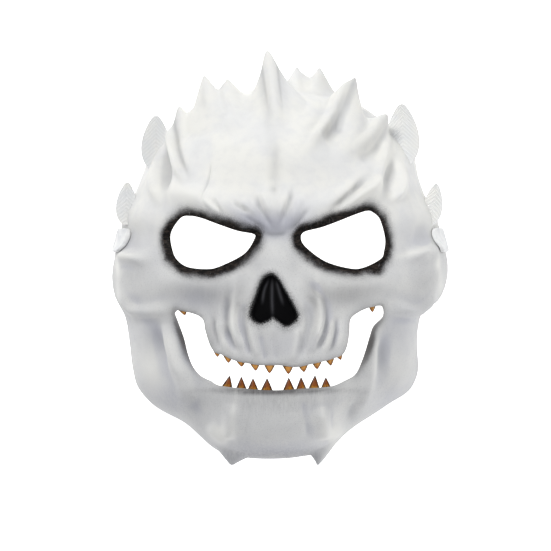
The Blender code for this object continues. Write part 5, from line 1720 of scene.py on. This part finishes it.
def fang_paint(name, root_colour, body_colour, tip_colour, streak_and_side_shade_colour, grain):
    """Fang stained from root to point and darker in streaks, with painted shade at its sides."""
    surface, tree, shader, place = new_material(name)
    number = trait(tree, "fang_number")
    apart = add_node(tree, "ShaderNodeCombineXYZ", None, {"Z": number}).outputs["Vector"]
    moved = add_node(tree, "ShaderNodeVectorMath", {"operation": "ADD"}, {0: place, 1: apart})
    spot = moved.outputs["Vector"]
    stain = cloud(tree, spot, FANG_STAIN)
    wobble = scaled(tree, about_zero(tree, stain), FANG_WOBBLE, trait(tree, "fang_share"))
    paint = blend(tree, fade(tree, wobble, FANG_BODY), root_colour, body_colour)
    paint = blend(tree, fade(tree, wobble, FANG_TIP), paint, tip_colour)
    streaks = cloud(tree, stretched(tree, spot, FANG_STRETCH), FANG_STREAKS)
    paint = blend(tree, fade(tree, streaks, FANG_STREAK), paint, streak_and_side_shade_colour)
    # Painted shade on the sides of the fang
    paint = blend(tree, fade(tree, trait(tree, "fang_side_shade"), FANG_SIDE_SHADE), paint, streak_and_side_shade_colour)
    tree.links.new(paint, shader.inputs["Base Color"])
    tree.links.new(fade(tree, stain, FANG_ROUGH), shader.inputs["Roughness"])
    shader.inputs["Specular IOR Level"].default_value = FANG_SPECULAR
    foam_bump(tree, shader, place, grain, FANG_GRAIN)
    return surface


def tab_rubber(grain):
    """Matte white tab, slightly mottled."""
    surface, tree, shader, place = new_material("tab_rubber")
    mottle = cloud(tree, place, TAB_MOTTLE)
    paint = blend(tree, fade(tree, mottle, SOFT_TINT), TAB_WHITE, FIN_COOL)
    tree.links.new(paint, shader.inputs["Base Color"])
    tree.links.new(fade(tree, mottle, TAB_ROUGH), shader.inputs["Roughness"])
    foam_bump(tree, shader, place, grain, TAB_GRAIN)
    return surface


def knitted_elastic():
    """White knit: ribs along the band and small stitches across them, with painted shade in the low parts of
    the knit.
    """
    surface, tree, shader = new_material("knitted_elastic")[:3]
    band = add_node(tree, "ShaderNodeUVMap", {"uv_map": "band"}).outputs["UV"]
    parts = add_node(tree, "ShaderNodeSeparateXYZ", None, {"Vector": band}).outputs
    turn = 2 * math.pi
    rib = sums(tree, "SINE", times(tree, parts["Y"], turn * STRAP_RIBS / STRAP_WIDTH))
    shifted = scaled(tree, rib, STITCH_LEAN, times(tree, parts["X"], turn / STITCH))
    stitch = sums(tree, "SINE", shifted)
    height = scaled(tree, stitch, KNIT_STITCH_SHARE, times(tree, rib, KNIT_RIB_SHARE))
    fuzz = cloud(tree, band, BAND_FUZZ)
    # Painted shade: darker where the knit lies low
    paint = blend(tree, fade(tree, height, KNIT_HOLLOW_SHADE), ELASTIC_SHADE, ELASTIC_WHITE)
    paint = blend(tree, fade(tree, fuzz, FUZZ_SHADE), paint, ELASTIC_SHADE)
    tree.links.new(paint, shader.inputs["Base Color"])
    tree.links.new(fade(tree, fuzz, KNIT_ROUGH), shader.inputs["Roughness"])
    shader.inputs["Sheen Weight"].default_value = KNIT_SHEEN
    bump(tree, shader, scaled(tree, fuzz, FUZZ_HIGH, height), STITCH_DEPTH)
    return surface


def pale_floor():
    """White floor that shines a little more where the camera sees it first."""
    surface, tree, shader, place = new_material("pale_floor")
    paint = blend(tree, cloud(tree, place, FLOOR_MOTTLE), FLOOR_WHITE, FLOOR_SOFT)
    tree.links.new(paint, shader.inputs["Base Color"])
    tree.links.new(paint, shader.inputs["Emission Color"])
    seen_first = add_node(tree, "ShaderNodeLightPath").outputs["Is Camera Ray"]
    tree.links.new(fade(tree, seen_first, FLOOR_LIGHT), shader.inputs["Emission Strength"])
    shader.inputs["Roughness"].default_value = FLOOR_ROUGH
    return surface


def make_floor():
    bm = bmesh.new()
    bmesh.ops.create_grid(bm, x_segments=1, y_segments=1, size=FLOOR_SIDE / 2)
    bmesh.ops.translate(bm, vec=(0.0, 0.0, -FLOOR_DROP), verts=bm.verts)
    return new_piece("floor", bm, pale_floor())


def add_light(name, place, target, side, power):
    """Square softbox at a place, turned to a target."""
    lamp = bpy.data.lights.new(name, "AREA")
    lamp.size = side
    lamp.energy = power
    light = bpy.data.objects.new(name, lamp)
    light.location = place
    light.rotation_euler = (Vector(target) - Vector(place)).to_track_quat("-Z", "Y").to_euler()
    bpy.context.scene.collection.objects.link(light)


def set_studio():
    for row in SOFTBOXES:
        add_light(row.name, row.place, (0.0, 0.0, DEPTH / 2), row.side, row.power)
    world = bpy.data.worlds.new("pale_studio")
    world.use_nodes = True
    background = world.node_tree.nodes["Background"]
    background.inputs["Color"].default_value = (*WORLD_COLOUR, 1.0)
    background.inputs["Strength"].default_value = WORLD_STRENGTH
    bpy.context.scene.world = world
    bpy.context.scene.view_settings.view_transform = "Standard"


def set_camera():
    """Looks straight down at the face, with the forehead up in the picture."""
    lens = bpy.data.cameras.new("photo_camera")
    lens.sensor_width = CAMERA_SENSOR
    lens.lens = lens.sensor_width * (CAMERA_HIGH - CAMERA_FOCUS_HIGH) / (PHOTO_SIDE * PHOTO_PIXEL)
    lens.clip_end = 2 * CAMERA_HIGH
    camera = bpy.data.objects.new("photo_camera", lens)
    middle = PHOTO_SIDE / 2
    camera.location = ((middle - PHOTO_X) * PHOTO_PIXEL, (PHOTO_Y - middle) * PHOTO_PIXEL, CAMERA_HIGH)
    bpy.context.scene.collection.objects.link(camera)
    bpy.context.scene.camera = camera


def main():
    airbrush, grain, scuffs = airbrush_group(), foam_grain_group(), scratches_group()
    face = make_face(face_paint(airbrush, grain, scuffs))
    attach(face, "root")
    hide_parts("mask_shell")
    upper = fang_paint("upper_fang_paint", AMBER_ROOT, AMBER, AMBER_TIP, AMBER_DARK, grain)
    lower = fang_paint("lower_fang_paint", OCHRE, RUST, BROWN_TIP, BROWN_DARK, grain)
    pieces = [
        make_fangs("upper_fangs", UPPER_FANGS, upper, 3, UPPER_FANG_WIDE, UPPER_FANG_FULL),
        make_fangs("lower_fangs", LOWER_FANGS, lower, 5, LOWER_FANG_WIDE, LOWER_FANG_FULL),
    ]
    leaf = fin_foam(grain)
    pieces += [make_fin(row, leaf) for row in FINS]
    for piece in pieces:
        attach(piece, "root")
    rubber = tab_rubber(grain)
    for side, word in ((1, "right"), (-1, "left")):
        tab = make_tab(side, "tab_" + word, rubber)
        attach(tab, "root")
        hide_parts("strap_end_" + word)
    strap, length = make_strap(knitted_elastic())
    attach(strap, "root")
    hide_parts("elastic_strap")
    make_floor()
    set_studio()
    set_camera()


main()
